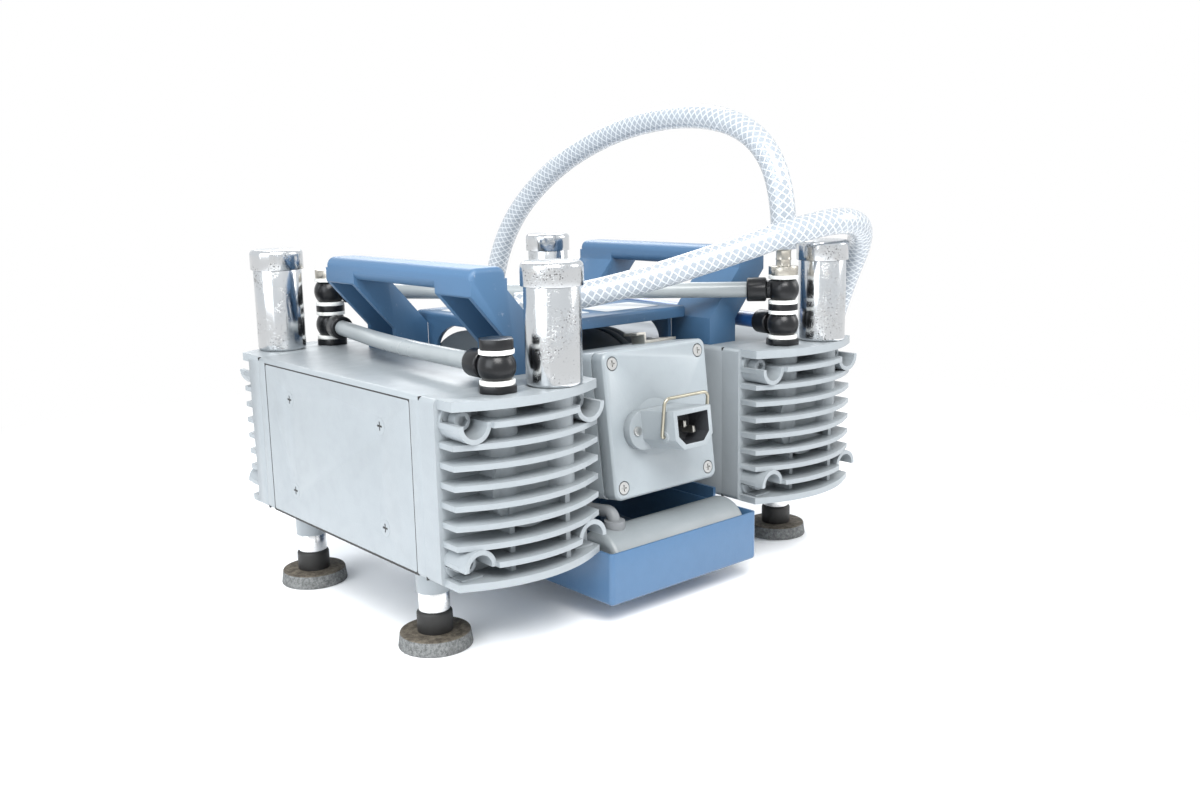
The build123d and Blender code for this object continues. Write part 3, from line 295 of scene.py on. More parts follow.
def anodised(name):
    r = Recipe(name)
    worn = r.noise(140.0, 5.0, 0.65).step(0.6, 0.72)
    base = r.mix(worn * 0.35, (0.009, 0.0095, 0.011, 1), (0.09, 0.09, 0.095, 1))
    return r.surface(Base_Color=base, Metallic=0.35 + worn * 0.3, Roughness=0.3 + worn * 0.15,
                     Normal=r.bump(r.noise(1600.0), 0.00003, 0.5))


def seal_white(name):
    r = Recipe(name)
    dirt = r.noise(180.0, 4.0).step(0.5, 0.75)
    base = r.mix(dirt * 0.4, (0.78, 0.79, 0.77, 1), (0.46, 0.43, 0.37, 1))
    return r.surface(Base_Color=base, Roughness=0.45 + dirt * 0.1, Normal=r.bump(dirt, 0.00005, 0.4))


def rubber(name, shade=(0.012, 0.0115, 0.011)):
    r = Recipe(name)
    dust = r.noise(60.0, 6.0, 0.7).step(0.45, 0.75)
    base = r.mix(dust * 0.35, rgba(shade), rgba([c + 0.03 for c in shade]))
    return r.surface(Base_Color=base, Roughness=0.55 + dust * 0.2,
                     Normal=r.bump(r.noise(800.0, 4.0), 0.00015, 0.6))


def gritty_pad(name, shade, top_z):
    """Speckled grey elastomer, with brown dirt lying on its upper face."""
    r = Recipe(name)
    grit = r.noise(520.0, 6.0, 0.75)
    dark = r.cells(700.0).step(0.32, 0.12)
    base = r.mix(grit.step(0.35, 0.66), rgba(shade, 0.62), rgba(shade, 1.6))
    base = r.mix(dark * 0.6, base, rgba(shade, 0.3))
    height = r.add("ShaderNodeSeparateXYZ", None, {"Vector": r.place()}, out="Z")
    top = height.step(top_z - 0.0009, top_z - 0.0003)
    mud = r.mix(r.noise(240.0, 6.0, 0.7).step(0.35, 0.7), (0.04, 0.032, 0.023, 1), (0.13, 0.112, 0.085, 1))
    base = r.mix(top, base, mud)
    return r.surface(Base_Color=base, Roughness=0.75 + top * 0.1, Normal=r.bump(grit, 0.0006, 0.8))


def air_tube(name, shade):
    r = Recipe(name)
    cloud = r.noise(35.0, 4.0).step(0.35, 0.7)
    base = r.mix(cloud * 0.4, rgba(shade), rgba(shade, 0.82))
    return r.surface(Base_Color=base, Roughness=0.27 + cloud * 0.1,
                     Normal=r.bump(r.noise(300.0), 0.00006, 0.5), Coat_Weight=0.25, Coat_Roughness=0.15)


def braided(name):
    """Clear hose wall with two crossing sets of white threads, laid out on the piece's own UV map."""
    r = Recipe(name)
    uv = r.add("ShaderNodeUVMap", {"uv_map": "along"})
    parts = {axis: r.add("ShaderNodeSeparateXYZ", None, {"Vector": uv}, out=axis) for axis in ("X", "Y")}
    threads, strands = None, 8.0
    for sense in (1, -1):
        band = (parts["X"] * strands + parts["Y"] * (strands * sense)).fraction().distance(0.5)
        line = band.step(0.13, 0.07)
        threads = line if threads is None else threads.maximum(line)
    cloud = r.noise(40.0, 4.0).step(0.4, 0.7)
    clear = r.mix(cloud * 0.5, (0.345, 0.385, 0.43, 1), (0.41, 0.45, 0.495, 1))
    base = r.mix(threads, clear, (0.50, 0.53, 0.56, 1))
    return r.surface(Base_Color=base, Roughness=0.16 + threads * 0.15, Alpha=0.68 + threads * 0.28,
                     Normal=r.bump(threads, 0.00025, 0.5), Coat_Weight=0.6, Coat_Roughness=0.08)


def label_film(name):
    r = Recipe(name)
    soil = r.noise(45.0, 5.0, 0.65).step(0.45, 0.8)
    base = r.mix(soil * 0.35, (0.58, 0.60, 0.615, 1), (0.44, 0.455, 0.455, 1))
    return r.surface(Base_Color=base, Roughness=0.33 + soil * 0.15, Normal=r.bump(soil, 0.00004, 0.3))


# Painted shade: a near-black moulding for the faces inside the inlet's opening.
def painted_cavity_shade(name):
    return moulded(name, (0.02, 0.022, 0.026), rough=0.45, worn=0.12)


def floor_white(name):
    """Pale floor that keeps the shadow near the pump and runs out to plain white far from it."""
    r = Recipe(name)
    reach = r.add("ShaderNodeVectorMath", {"operation": "LENGTH"}, {0: r.place()}, out="Value")
    diffuse = r.add("ShaderNodeBsdfDiffuse", None, {"Color": (0.93, 0.94, 0.955, 1)})
    plain = r.add("ShaderNodeEmission", None, {"Color": (1, 1, 1, 1), "Strength": 1.0})
    camera = r.add("ShaderNodeLightPath", out="Is Camera Ray")
    glossy = r.add("ShaderNodeLightPath", out="Is Glossy Ray")
    factor = reach.step(0.25, 0.75) * camera.maximum(glossy)
    blend = r.add("ShaderNodeMixShader", None, {0: factor, 1: diffuse, 2: plain})
    r.tree.links.new(blend.socket, r.output.inputs["Surface"])
    return r.material


# ---- modelling helpers ---------------------------------------------------------------------------
def choose(obj):
    bpy.ops.object.select_all(action="DESELECT")
    obj.select_set(True)
    bpy.context.view_layer.objects.active = obj


def paint(obj, material):
    if len(obj.data.materials) == 0:
        obj.data.materials.append(material)
    for index in range(len(obj.data.materials)):
        obj.data.materials[index] = material


def body_of(node):
    return NODES[node]["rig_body"]


def own_copy(source, name):
    """Copy of an object with its own mesh, at the origin and not yet declared as anything."""
    piece = source.copy()
    piece.data = source.data.copy()
    piece.name = name
    for key in list(piece.keys()):
        del piece[key]
    bpy.context.scene.collection.objects.link(piece)
    piece.parent = None
    piece.matrix_world = Matrix.Identity(4)
    return piece


def merged_copy(node, name):
    """Copy of a CAD node's mesh with its loose triangles merged into faces."""
    weld, flat = 1e-6, radians(0.4)
    piece = own_copy(NODES[node], name)
    choose(piece)
    bpy.ops.object.mode_set(mode="EDIT")
    bpy.ops.mesh.select_all(action="SELECT")
    bpy.ops.mesh.remove_doubles(threshold=weld)
    bpy.ops.mesh.customdata_custom_splitnormals_clear()
    bpy.ops.mesh.dissolve_limited(angle_limit=flat)
    bpy.ops.object.mode_set(mode="OBJECT")
    return piece


def soften_edges(piece, width, limit=EDGE_ANGLE):
    """Bevels the sharp edges and shades the rest smooth."""
    choose(piece)
    if width > 0:
        bevel = piece.modifiers.new("edges", "BEVEL")
        bevel.width = width
        bevel.segments = 2
        bevel.limit_method = "ANGLE"
        bevel.angle_limit = radians(limit)
        bevel.use_clamp_overlap = True
        bevel.miter_outer = "MITER_ARC"
        bpy.ops.object.modifier_apply(modifier="edges")
    bpy.ops.object.shade_smooth_by_angle(angle=radians(limit))


def softened(node, width, material, limit=EDGE_ANGLE):
    """Merged copy of a CAD node with softened edges and smooth shading, which stands for it."""
    piece = merged_copy(node, f"{node}_softened")
    soften_edges(piece, width, limit)
    paint(piece, material)
    finish_piece(piece, node)
    return piece


def finish_piece(piece, node):
    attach(piece, body_of(node))
    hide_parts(node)


def rounded_bar(name, radius, centre, start, stop):
    """Cylinder along Y through a centre given as (x, z), for cutting or building."""
    bpy.ops.object.select_all(action="DESELECT")
    middle = (centre[0], (start + stop) / 2, centre[1])
    bpy.ops.mesh.primitive_cylinder_add(vertices=40, radius=radius, depth=abs(stop - start), location=middle,
                                        rotation=(pi / 2, 0, 0))
    bar = bpy.context.object
    bar.name = name
    bpy.ops.object.transform_apply(location=True, rotation=True, scale=True)
    return bar


def slab(name, x, y, z):
    """Box between two values on each axis."""
    bpy.ops.object.select_all(action="DESELECT")
    spans = [(min(pair), max(pair)) for pair in (x, y, z)]
    bpy.ops.mesh.primitive_cube_add(size=1, location=[(low + high) / 2 for low, high in spans])
    block = bpy.context.object
    block.name = name
    block.scale = [high - low for low, high in spans]
    bpy.ops.object.transform_apply(location=True, rotation=True, scale=True)
    return block


def place_piece(piece, material, body):
    """Finishes and declares a piece that stands for no CAD node."""
    paint(piece, material)
    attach(piece, body)


def combine(target, tool, operation):
    """Boolean of two meshes; the tool is used up."""
    join = target.modifiers.new("join", "BOOLEAN")
    join.operation = operation
    join.solver = "EXACT"
    join.object = tool
    choose(target)
    bpy.ops.object.modifier_apply(modifier="join")
    bpy.data.objects.remove(tool)


def shaped_head(node, width, material):
    """One finned head, whose outer fins step round the screws in half-round arches."""
    piece = merged_copy(node, f"{node}_shaped")
    low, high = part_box(node)
    centre = (low + high) / 2
    # arch and wall are the arch's outer radius and its thickness, lip its cut edge, reach a cutter's half
    # width. arch_z and plate are heights from the head's middle. seat, root and tip are depths from the seam.
    arch, wall, lip, reach = 9.7 * MM, 2.6 * MM, 0.6 * MM, 30 * MM
    arch_z, plate = 37.0 * MM, 44.0 * MM
    seat, root, tip = 16.0 * MM, 13 * MM, 33.0 * MM
    beyond = low.y - seat
    for side in (-1, 1):
        for level in (-1, 1):
            x = centre.x + side * HEAD_SCREW_X
            screw = (x, centre.z + level * HEAD_SCREW_Z)
            bend = (x, centre.z + level * arch_z)
            across = (x - reach, x + reach)
            room = rounded_bar("room", arch, screw, high.y - seat, beyond)
            combine(room, slab("above", across, (low.y - 2 * seat, high.y),
                               (centre.z + level * plate, centre.z + level * 2 * plate)), "DIFFERENCE")
            combine(piece, room, "DIFFERENCE")
            ring = rounded_bar("ring", arch, bend, high.y - root, high.y - tip)
            combine(ring, rounded_bar("bore", arch - wall, bend, high.y, beyond), "DIFFERENCE")
            combine(ring, slab("half", across, (beyond, high.y),
                               (bend[1] + level * lip, bend[1] + level * reach)), "DIFFERENCE")
            combine(piece, ring, "UNION")
    soften_edges(piece, width)
    paint(piece, material)
    finish_piece(piece, node)
    return piece


def dress(nodes, material):
    """Gives CAD nodes that keep their own mesh a finish."""
    for node in nodes:
        paint(NODES[node], material)


class PumpOperator:
    bl_options = {"REGISTER", "UNDO"}

    @property
    def sizes(self):
        return bpy.context.scene.pump_sizes

    @property
    def colours(self):
        return bpy.context.scene.pump_colours


# ---- pieces --------------------------------------------------------------------------------------
class DressCastings(PumpOperator, bpy.types.Operator):
    """Powder-coated crankcases, side covers and finned heads with softened edges"""

    bl_idname = "pump.castings"
    bl_label = "Castings"

    def execute(self, context):
        coat = powder_coat("casting_coat", self.colours.casting)
        for side in SIDES:
            softened(f"crankcase_{side}", self.sizes.casting_edge, coat)
            softened(f"side_cover_{side}", self.sizes.metal_edge, coat)
        self.heads(coat)
        self.seams()
        return {"FINISHED"}

    def seams(self):
        """Dark rubber sheets in the joints between crankcase, heads and side covers: painted shade that
        darkens the seam lines.
        """
        # painted shade: dark sheets that show as the shadowed lines of the seams
        painted_seam_shade = rubber("painted_seam_shade")
        groove, thick, opening = 0.12 * MM, 0.4 * MM, 43 * MM
        depth, gap = 0.2 * MM, 0.9 * MM
        for head in HEADS:
            low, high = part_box(head)
            seam = high.y if "front" in head else low.y
            sheet = slab(f"{head}_gasket", (low.x + groove, high.x - groove), (seam - thick, seam + thick),
                         (low.z + groove, high.z - groove))
            middle = (low + high) / 2
            combine(sheet, rounded_bar("opening", opening, (middle.x, middle.z),
                                       seam - 10 * MM, seam + 10 * MM), "DIFFERENCE")
            place_piece(sheet, painted_seam_shade, "frame")
        for side in SIDES:
            low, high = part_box(f"side_cover_{side}")
            place_piece(slab(f"side_cover_{side}_gasket", (low.x + depth, high.x - depth),
                             (low.y - gap, high.y + gap), (low.z - gap, high.z + gap)), painted_seam_shade, "frame")

    def heads(self, coat):
        """Finned heads: one is shaped, at the front left, and copies are turned or moved to the others."""
        first = shaped_head("head_front_left", self.sizes.casting_edge, coat)
        low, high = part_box("head_front_left")
        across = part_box("head_front_right")[0].x - low.x
        to_axis = Matrix.Translation((-(low.x + high.x) / 2, 0, 0))
        for head in HEADS[1:]:
            copy = own_copy(first, f"{head}_shaped")
            if "rear" in head:
                copy.data.transform(to_axis.inverted() @ Matrix.Rotation(pi, 4, "Z") @ to_axis)
            if "right" in head:
                copy.data.transform(Matrix.Translation((across, 0, 0)))
            finish_piece(copy, head)


class DressMotor(PumpOperator, bpy.types.Operator):
    """Motor shell, end shields, and the working parts inside"""

    bl_idname = "pump.motor"
    bl_label = "Motor and drive"

    def execute(self, context):
        dark = enamel("motor_enamel", self.colours.motor)
        for node in ("motor_housing", "end_shield_left", "end_shield_right"):
            softened(node, self.sizes.metal_edge, dark)
        bright = satin_metal("bare_metal", (0.62, 0.63, 0.64), rough=0.3)
        softened("cooling_fan", 0.0, bright)
        dress(["inner_head_plates"] + [f"con_rod_{rod}" for rod in RODS], bright)
        self.fan_guard(dark)
        core = satin_metal("core_steel", (0.27, 0.27, 0.28), rough=0.42, along=(14.0, 1.0, 1.0))
        dress(("rotor", "stator", "eccentrics"), core)
        steel = satin_metal("ground_steel", (0.60, 0.60, 0.61), rough=0.2, along=(1.0, 9.0, 9.0))
        dress(["motor_shaft", "ball_bearings"] + [f"clamp_disc_{rod}" for rod in RODS], steel)
        dress(["diaphragm_rims"] + [f"diaphragm_{rod}" for rod in RODS], rubber("diaphragm_rubber"))
        return {"FINISHED"}

    def fan_guard(self, dark):
        """Plain ring round the fan, cut straight at the front and the back, seen through the cover's arch."""
        x, radius, bore, thick, flat = -61.5 * MM, 64 * MM, 46 * MM, 2.4 * MM, 56 * MM
        guard = self.disc("fan_guard", radius, (x, 0, AXIS_Z), thick)
        combine(guard, self.disc("bore", bore, (x, 0, AXIS_Z), 9 * MM), "DIFFERENCE")
        for name, end in (("front", -1), ("rear", 1)):
            cutter = slab(name, (x - 10 * MM, x + 10 * MM), (end * flat, end * 90 * MM), (0, 200 * MM))
            combine(guard, cutter, "DIFFERENCE")
        place_piece(guard, dark, "frame")

    def disc(self, name, radius, place, thick):
        """Cylinder along X."""
        bpy.ops.object.select_all(action="DESELECT")
        bpy.ops.mesh.primitive_cylinder_add(vertices=72, radius=radius, depth=thick, location=place,
                                            rotation=(0, pi / 2, 0))
        piece = bpy.context.object
        piece.name = name
        bpy.ops.object.transform_apply(location=True, rotation=True, scale=True)
        return piece


class DressTerminalBox(PumpOperator, bpy.types.Operator):
    """Terminal box, mains inlet and its wire bail"""

    bl_idname = "pump.terminal_box"
    bl_label = "Terminal box"

    def execute(self, context):
        paint_grey = powder_coat("box_paint", self.colours.box, grain=0.00008, rough=0.34)
        softened("terminal_box_base", self.sizes.metal_edge, paint_grey)
        softened("terminal_box_cover", self.sizes.casting_edge, paint_grey)
        self.adapter(moulded("inlet_plastic", self.colours.inlet), painted_cavity_shade("inlet_cavity_shade"))
        dress(["inlet_pins"], satin_metal("pin_metal", (0.55, 0.54, 0.50)))
        wire = satin_metal("wire_steel", (0.40, 0.375, 0.30), rough=0.25)
        softened("inlet_bail", 0.0, wire, limit=60.0)
        softened("clamp_bracket", 0.15 * MM, satin_metal("strap_metal", (0.60, 0.58, 0.53), rough=0.34))
        self.box_seam()
        return {"FINISHED"}

    def on_box(self, piece, x=0.0, z=0.0):
        """Moves a mesh from the plane of the box cover to the cover's tilted place."""
        piece.data.transform(BOX_PLACE @ Matrix.Translation((x, 0, z)))
        return piece

    def box_seam(self):
        """Dark rubber sheet between the box and its cover: painted shade that darkens the seam line."""
        half_x, half_z, inset = 42 * MM, 43.25 * MM, 1.6 * MM
        front, back = 9.7 * MM, 11.1 * MM
        sheet = slab("box_painted_seam_shade", (inset - half_x, half_x - inset), (front, back),
                     (inset - half_z, half_z - inset))
        # painted shade: a dark sheet that shows as the shadowed line of the box seam
        place_piece(self.on_box(sheet), rubber("box_painted_seam_shade"), "frame")

    def adapter(self, plastic, black):
        """Mains inlet on an oval flange with a screw at each end, with painted shade in black on the faces
        inside its opening.
        """
        x, z = INLET_X, INLET_Z
        flange, end_radius, end_x = 5 * MM, 11.6 * MM, 13.5 * MM      # thickness, its round ends
        front, cut, half = -flange - 0.3 * MM, -flange - 0.2 * MM, 40 * MM
        opening_x, opening_z, inner, outer = 12.4 * MM, 8.6 * MM, -15 * MM, -32 * MM
        screw_x, screw_radius, screw_rise = 19.3 * MM, 2.7 * MM, 1.6 * MM
        seat_radius, seat_front, seat_back = 18.5 * MM, 0.12 * MM, 3 * MM
        piece = merged_copy("inlet_adapter", "inlet_adapter_shaped")
        old_flange = slab("cut", (-half, half), (cut, MM), (-half, half))
        combine(piece, self.on_box(old_flange, x, z), "DIFFERENCE")
        plate = slab("plate", (-end_x, end_x), (front, 0), (-end_radius, end_radius))
        for side in (-1, 1):
            combine(plate, rounded_bar("end", end_radius, (side * end_x, 0), front, 0), "UNION")
        combine(piece, self.on_box(plate, x, z), "UNION")
        soften_edges(piece, self.sizes.metal_edge)
        paint(piece, plastic)
        # painted shade: the black second slot goes on the faces inside the opening
        piece.data.materials.append(black)
        to_box = BOX_PLACE.inverted()
        for polygon in piece.data.polygons:
            at = to_box @ polygon.center - Vector((x, 0, z))
            if abs(at.x) < opening_x and abs(at.z) < opening_z and outer < at.y < inner:
                polygon.material_index = 1
        finish_piece(piece, "inlet_adapter")
        seat = rounded_bar("adapter_seat", seat_radius, (0, 0), seat_front, seat_back)
        place_piece(self.on_box(seat, x, z), bpy.data.materials["box_paint"], "frame")
        screw = satin_metal("inlet_screw", (0.55, 0.55, 0.54), rough=0.3)
        for name, side in (("left", -1), ("right", 1)):
            head = rounded_bar(f"inlet_screw_{name}", screw_radius, (side * screw_x, 0),
                               -flange - screw_rise, -flange + MM)
            soften_edges(head, 0.5 * MM)
            place_piece(self.on_box(head, x, z), screw, "frame")


class DressCover(PumpOperator, bpy.types.Operator):
    """Blue cover and handles, the sheet tray and two bare labels"""

    bl_idname = "pump.cover"
    bl_label = "Cover and handles"

    def execute(self, context):
        blue = moulded("blue_moulding", self.colours.moulding)
        softened("top_cover", self.sizes.metal_edge, blue)
        for side in SIDES:
            softened(f"handle_{side}", self.sizes.moulding_edge, blue)
        tray_paint = powder_coat("tray_paint", self.colours.tray, rough=0.33)
        softened("drip_tray", self.sizes.metal_edge, tray_paint)
        self.hangers(tray_paint)
        right = (30 * MM, COVER_LOW.y + 28 * MM)
        left = (-30 * MM, 0.0)
        self.label("bare_label", right, self.sizes.label_length, self.sizes.label_width)
        self.label("bare_label_left", left, self.sizes.left_label_length, self.sizes.left_label_width)
        return {"FINISHED"}

    def hangers(self, tray_paint):
        """Sheet ends that reach up from the tray at each side."""
        sheet, front, top, overlap = 2 * MM, -88 * MM, 52 * MM, 4 * MM
        low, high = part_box("drip_tray")
        for side, x, outward in (("left", low.x, -sheet), ("right", high.x, sheet)):
            hanger = slab(f"tray_hanger_{side}", (x, x + outward), (front, high.y), (high.z - overlap, top))
            place_piece(hanger, tray_paint, "frame")

    def label(self, name, centre, size_x, size_y):
        """Bare label with rounded corners on top of the cover."""
        clear, thick, corner = 0.1 * MM, 0.2 * MM, 2 * MM
        place = (centre[0], centre[1], COVER_HIGH.z + clear)
        bpy.ops.object.select_all(action="DESELECT")
        bpy.ops.mesh.primitive_plane_add(size=1, location=place)
        film = bpy.context.object
        film.name = name
        film.scale = (size_x, size_y, 1)
        bpy.ops.object.transform_apply(location=True, rotation=True, scale=True)
        bpy.ops.object.mode_set(mode="EDIT")
        bpy.ops.mesh.select_all(action="SELECT")
        bpy.ops.mesh.bevel(offset=corner, segments=4, affect="VERTICES")
        bpy.ops.mesh.extrude_region_move(TRANSFORM_OT_translate={"value": (0, 0, thick)})
        bpy.ops.mesh.select_all(action="SELECT")
        bpy.ops.mesh.normals_make_consistent(inside=False)
        bpy.ops.object.mode_set(mode="OBJECT")
        place_piece(film, label_film("label_film"), "frame")


class DressFittings(PumpOperator, bpy.types.Operator):
    """Chrome cans, hose fittings, tubes, screws, capacitor and feet"""

    bl_idname = "pump.fittings"
    bl_label = "Cans, fittings and feet"

    def execute(self, context):
        chrome = pitted_chrome("pitted_chrome")
        for node in ("can_bodies", "can_caps"):
            softened(node, self.sizes.metal_edge, chrome)
        black = anodised("black_anodised")
        for node in ("ring_bodies", "hollow_bolts", "tube_nuts"):
            softened(node, 0.25 * MM, black)
        softened("seal_washers", 0.3 * MM, seal_white("seal_white"))
        dress(["valve_discs"], seal_white("valve_white"))
        nickel = satin_metal("nickel", (0.55, 0.52, 0.46), rough=0.22)
        for node in ("hose_nozzle", "blanking_plug"):
            softened(node, 0.2 * MM, nickel)
        softened("grey_tubes", 0.0, air_tube("grey_tube", self.colours.tube), limit=60.0)
        softened("blue_tube", 0.0, air_tube("blue_tube", self.colours.blue_tube), limit=60.0)
        screw = satin_metal("screw_steel", (0.55, 0.55, 0.54), rough=0.3, dull=0.6)
        softened("head_screws", 0.2 * MM, bpy.data.materials["casting_coat"])
        self.cover_screws(softened("cross_head_screws", 0.0, screw))
        softened("capacitor", self.sizes.metal_edge, powder_coat("capacitor_paint", self.colours.capacitor))
        softened("capacitor_cable", 0.2 * MM, rubber("cable_grey", (0.16, 0.17, 0.18)))
        sleeve = satin_metal("sleeve_steel", (0.72, 0.72, 0.72), rough=0.18)
        softened("foot_sleeves", self.sizes.metal_edge, sleeve)
        softened("foot_rubbers", self.sizes.metal_edge, rubber("foot_rubber"))
        pad_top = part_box("foot_pads")[1].z
        softened("foot_pads", self.sizes.casting_edge, gritty_pad("pad_grit", self.colours.pad, pad_top))
        return {"FINISHED"}

    def cover_screws(self, screws):
        """The screws of the side covers carry the covers' own coat."""
        screws.data.materials.append(bpy.data.materials["casting_coat"])
        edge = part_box("crankcase_right")[0].x
        for polygon in screws.data.polygons:
            if abs(polygon.center.x) > edge:
                polygon.material_index = len(screws.data.materials) - 1


class AddHose(PumpOperator, bpy.types.Operator):
    """Free braided hose along one smooth line, with its real wall thickness"""

    bl_idname = "pump.hose"
    bl_label = "Braided hose"

    sides = 28

    def execute(self, context):
        line = self.smooth_line()
        tube = self.tube(line)
        paint(tube, braided("braided_hose"))
        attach(tube, "frame")
        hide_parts("hose")
        return {"FINISHED"}

    def smooth_line(self):
        """Points read from the route's NURBS line."""
        data = bpy.data.curves.new("hose_line", "CURVE")
        data.dimensions = "3D"
        data.resolution_u = 12
        spline = data.splines.new("NURBS")
        spline.points.add(len(HOSE_ROUTE) - 1)
        for point, place in zip(spline.points, HOSE_ROUTE):
            point.co = tuple(c * MM for c in place) + (1.0,)
        spline.order_u = 3
        spline.use_endpoint_u = True
        holder = bpy.data.objects.new("hose_line", data)
        bpy.context.scene.collection.objects.link(holder)
        bpy.context.view_layer.update()
        mesh = bpy.data.meshes.new_from_object(holder)
        points = [v.co.copy() for v in mesh.vertices]
        bpy.data.objects.remove(holder)
        bpy.data.meshes.remove(mesh)
        return points

    def tube(self, line):
        """Closed tube wall: the outer skin, the bore and a ring at each end."""
        rings = len(line)
        normal = (line[1] - line[0]).orthogonal().normalized()
        vertices, along = [], []
        for radius in (self.sizes.hose_radius, self.sizes.hose_bore):
            travelled, side = 0.0, normal.copy()
            for n, centre in enumerate(line):
                ahead = (line[min(n + 1, rings - 1)] - line[max(n - 1, 0)]).normalized()
                side = (side - ahead * side.dot(ahead)).normalized()
                other = ahead.cross(side)
                travelled += (centre - line[n - 1]).length if n else 0.0
                along.append(travelled / self.sizes.braid_pitch)
                for k in range(self.sides):
                    turn = 2 * pi * k / self.sides
                    vertices.append(centre + (side * cos(turn) + other * sin(turn)) * radius)
        faces, coordinates = [], []
        for skin in range(2):
            for n in range(rings - 1):
                for k in range(self.sides):
                    a = (skin * rings + n) * self.sides + k
                    b = (skin * rings + n) * self.sides + (k + 1) % self.sides
                    quad = [a, b, b + self.sides, a + self.sides]
                    u0, u1 = along[skin * rings + n], along[skin * rings + n + 1]
                    v0, v1 = k / self.sides, (k + 1) / self.sides
                    uv = [(u0, v0), (u0, v1), (u1, v1), (u1, v0)]
                    faces.append(quad if skin == 0 else quad[::-1])
                    coordinates.append(uv if skin == 0 else uv[::-1])
        inner = rings * self.sides
        for ring, flip in ((0, True), (rings - 1, False)):
            for k in range(self.sides):
                a = ring * self.sides + k
                b = ring * self.sides + (k + 1) % self.sides
                quad = [a, b, b + inner, a + inner]
                faces.append(quad[::-1] if flip else quad)
                coordinates.append([(0.5, 0.5)] * 4)
        mesh = bpy.data.meshes.new("braided_hose")
        mesh.from_pydata(vertices, [], faces)
        layer = mesh.uv_layers.new(name="along")
        for polygon, uv in zip(mesh.polygons, coordinates):
            for loop, value in zip(polygon.loop_indices, uv):
                layer.data[loop].uv = value
        piece = bpy.data.objects.new("braided_hose", mesh)
        bpy.context.scene.collection.objects.link(piece)
        choose(piece)
        bpy.ops.object.shade_smooth_by_angle(angle=radians(50))
        return piece


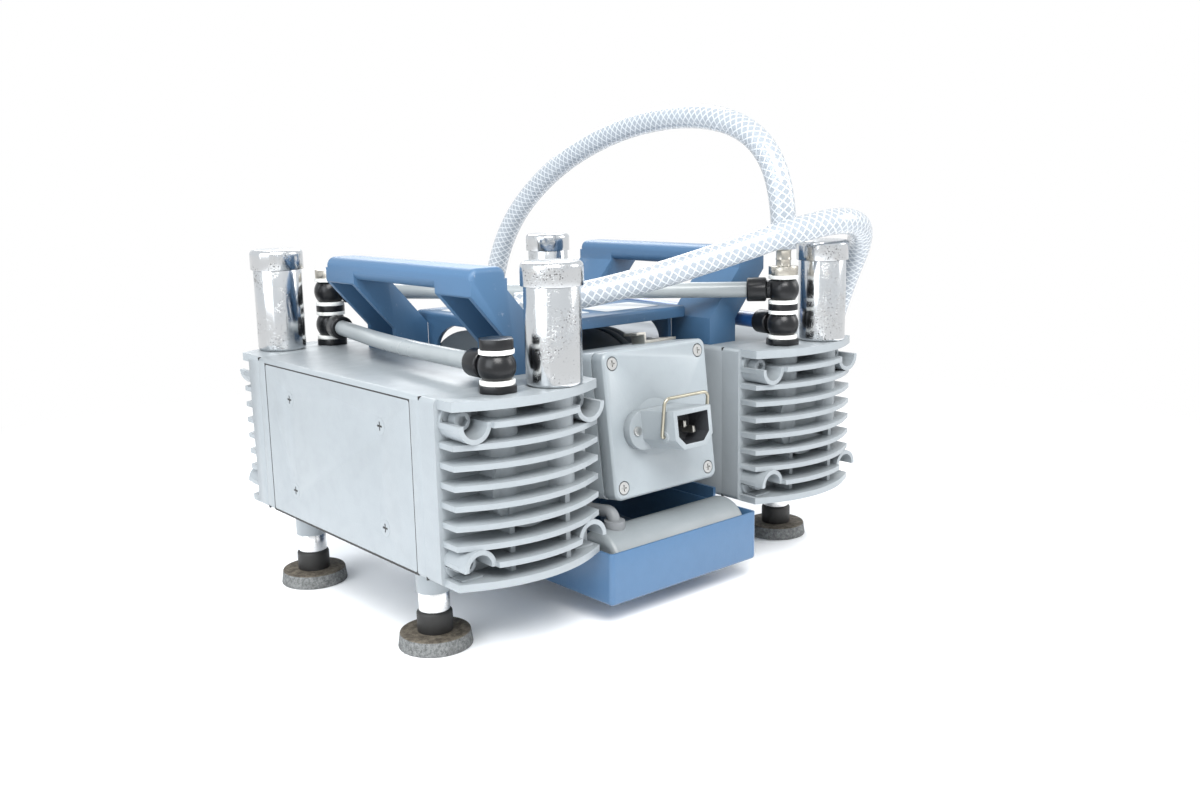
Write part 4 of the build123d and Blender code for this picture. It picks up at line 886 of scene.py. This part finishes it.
class SetStage(PumpOperator, bpy.types.Operator):
    """Floor, lights, world and camera"""

    bl_idname = "pump.stage"
    bl_label = "Stage"

    def execute(self, context):
        self.floor()
        self.world()
        self.lights()
        self.camera()
        context.scene.view_settings.view_transform = "Standard"
        return {"FINISHED"}

    def floor(self):
        bpy.ops.object.select_all(action="DESELECT")
        radius, below_feet = 8.0, 0.2 * MM
        bpy.ops.mesh.primitive_circle_add(vertices=96, radius=radius, fill_type="NGON",
                                          location=(0, 0, -below_feet))
        floor = bpy.context.object
        floor.name = "floor"
        paint(floor, floor_white("floor_white"))

    def world(self):
        world = bpy.data.worlds.new("studio")
        bpy.context.scene.world = world
        world.use_nodes = True
        tree = world.node_tree
        tree.nodes.clear()
        out = tree.nodes.new("ShaderNodeOutputWorld")
        soft = tree.nodes.new("ShaderNodeBackground")
        soft.inputs["Color"].default_value = (0.95, 0.975, 1.0, 1)
        soft.inputs["Strength"].default_value = 1.0
        white = tree.nodes.new("ShaderNodeBackground")
        white.inputs["Color"].default_value = (1, 1, 1, 1)
        path = tree.nodes.new("ShaderNodeLightPath")
        blend = tree.nodes.new("ShaderNodeMixShader")
        tree.links.new(path.outputs["Is Camera Ray"], blend.inputs[0])
        tree.links.new(soft.outputs[0], blend.inputs[1])
        tree.links.new(white.outputs[0], blend.inputs[2])
        tree.links.new(blend.outputs[0], out.inputs["Surface"])

    def lights(self):
        aim = Vector((0, 0, 0.12))
        lamps = {  # place, size, power, tint
            "key": ((-0.55, -0.95, 1.25), 0.9, 32.0, (1.0, 0.99, 0.97)),
            "fill": ((-1.5, -0.2, 0.7), 1.1, 15.0, (0.93, 0.97, 1.0)),
            "back": ((0.7, 1.2, 1.2), 1.0, 19.0, (0.96, 0.98, 1.0)),
            "right": ((1.3, -0.9, 0.8), 0.8, 9.5, (1.0, 0.98, 0.96)),
        }
        for name, (place, size, power, tint) in lamps.items():
            data = bpy.data.lights.new(name, "AREA")
            data.size = size
            data.energy = power
            data.color = tint
            lamp = bpy.data.objects.new(name, data)
            lamp.location = place
            lamp.rotation_euler = (aim - Vector(place)).to_track_quat("-Z", "Y").to_euler()
            bpy.context.scene.collection.objects.link(lamp)

    def camera(self):
        """Camera set by its place, heading, downward tilt and small roll."""
        place = Vector((-0.4595, -0.5769, 0.2512))
        yaw, tilt, roll = radians(40.953), radians(11.125), radians(-1.043)
        ahead = Vector((sin(yaw) * cos(tilt), cos(yaw) * cos(tilt), -sin(tilt)))
        right = Vector((cos(yaw), -sin(yaw), 0))
        up = right.cross(ahead)
        across = right * cos(roll) + up * sin(roll)
        upward = up * cos(roll) - right * sin(roll)
        data = bpy.data.cameras.new("camera")
        data.sensor_width = 36
        data.lens = 33.94
        camera = bpy.data.objects.new("camera", data)
        turn = Matrix((across, upward, -ahead)).transposed().to_4x4()
        camera.matrix_world = Matrix.Translation(place) @ turn
        bpy.context.scene.collection.objects.link(camera)
        bpy.context.scene.camera = camera


class PumpPanel(bpy.types.Panel):
    """Lists the pump's pieces and settings"""

    bl_idname = "VIEW3D_PT_pump"
    bl_label = "Diaphragm pump"
    bl_space_type = "VIEW_3D"
    bl_region_type = "UI"
    bl_category = "Pump"

    def draw(self, context):
        layout = self.layout
        for operator in OPERATORS:
            layout.operator(operator.bl_idname)
        for group in (context.scene.pump_sizes, context.scene.pump_colours):
            for key in group.bl_rna.properties.keys():
                if key not in ("rna_type", "name"):
                    layout.prop(group, key)


OPERATORS = (DressCastings, DressMotor, DressTerminalBox, DressCover, DressFittings, AddHose, SetStage)
CLASSES = (PumpSizes, PumpColours) + OPERATORS + (PumpPanel,)


def register():
    for item in CLASSES:
        bpy.utils.register_class(item)
    bpy.types.Scene.pump_sizes = bpy.props.PointerProperty(type=PumpSizes)
    bpy.types.Scene.pump_colours = bpy.props.PointerProperty(type=PumpColours)


def unregister():
    del bpy.types.Scene.pump_sizes
    del bpy.types.Scene.pump_colours
    for item in reversed(CLASSES):
        bpy.utils.unregister_class(item)


def main():
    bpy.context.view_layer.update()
    register()
    bpy.ops.pump.castings()
    bpy.ops.pump.motor()
    bpy.ops.pump.terminal_box()
    bpy.ops.pump.cover()
    bpy.ops.pump.fittings()
    bpy.ops.pump.hose()
    bpy.ops.pump.stage()
    bpy.context.view_layer.update()


if __name__ == "__main__":
    main()
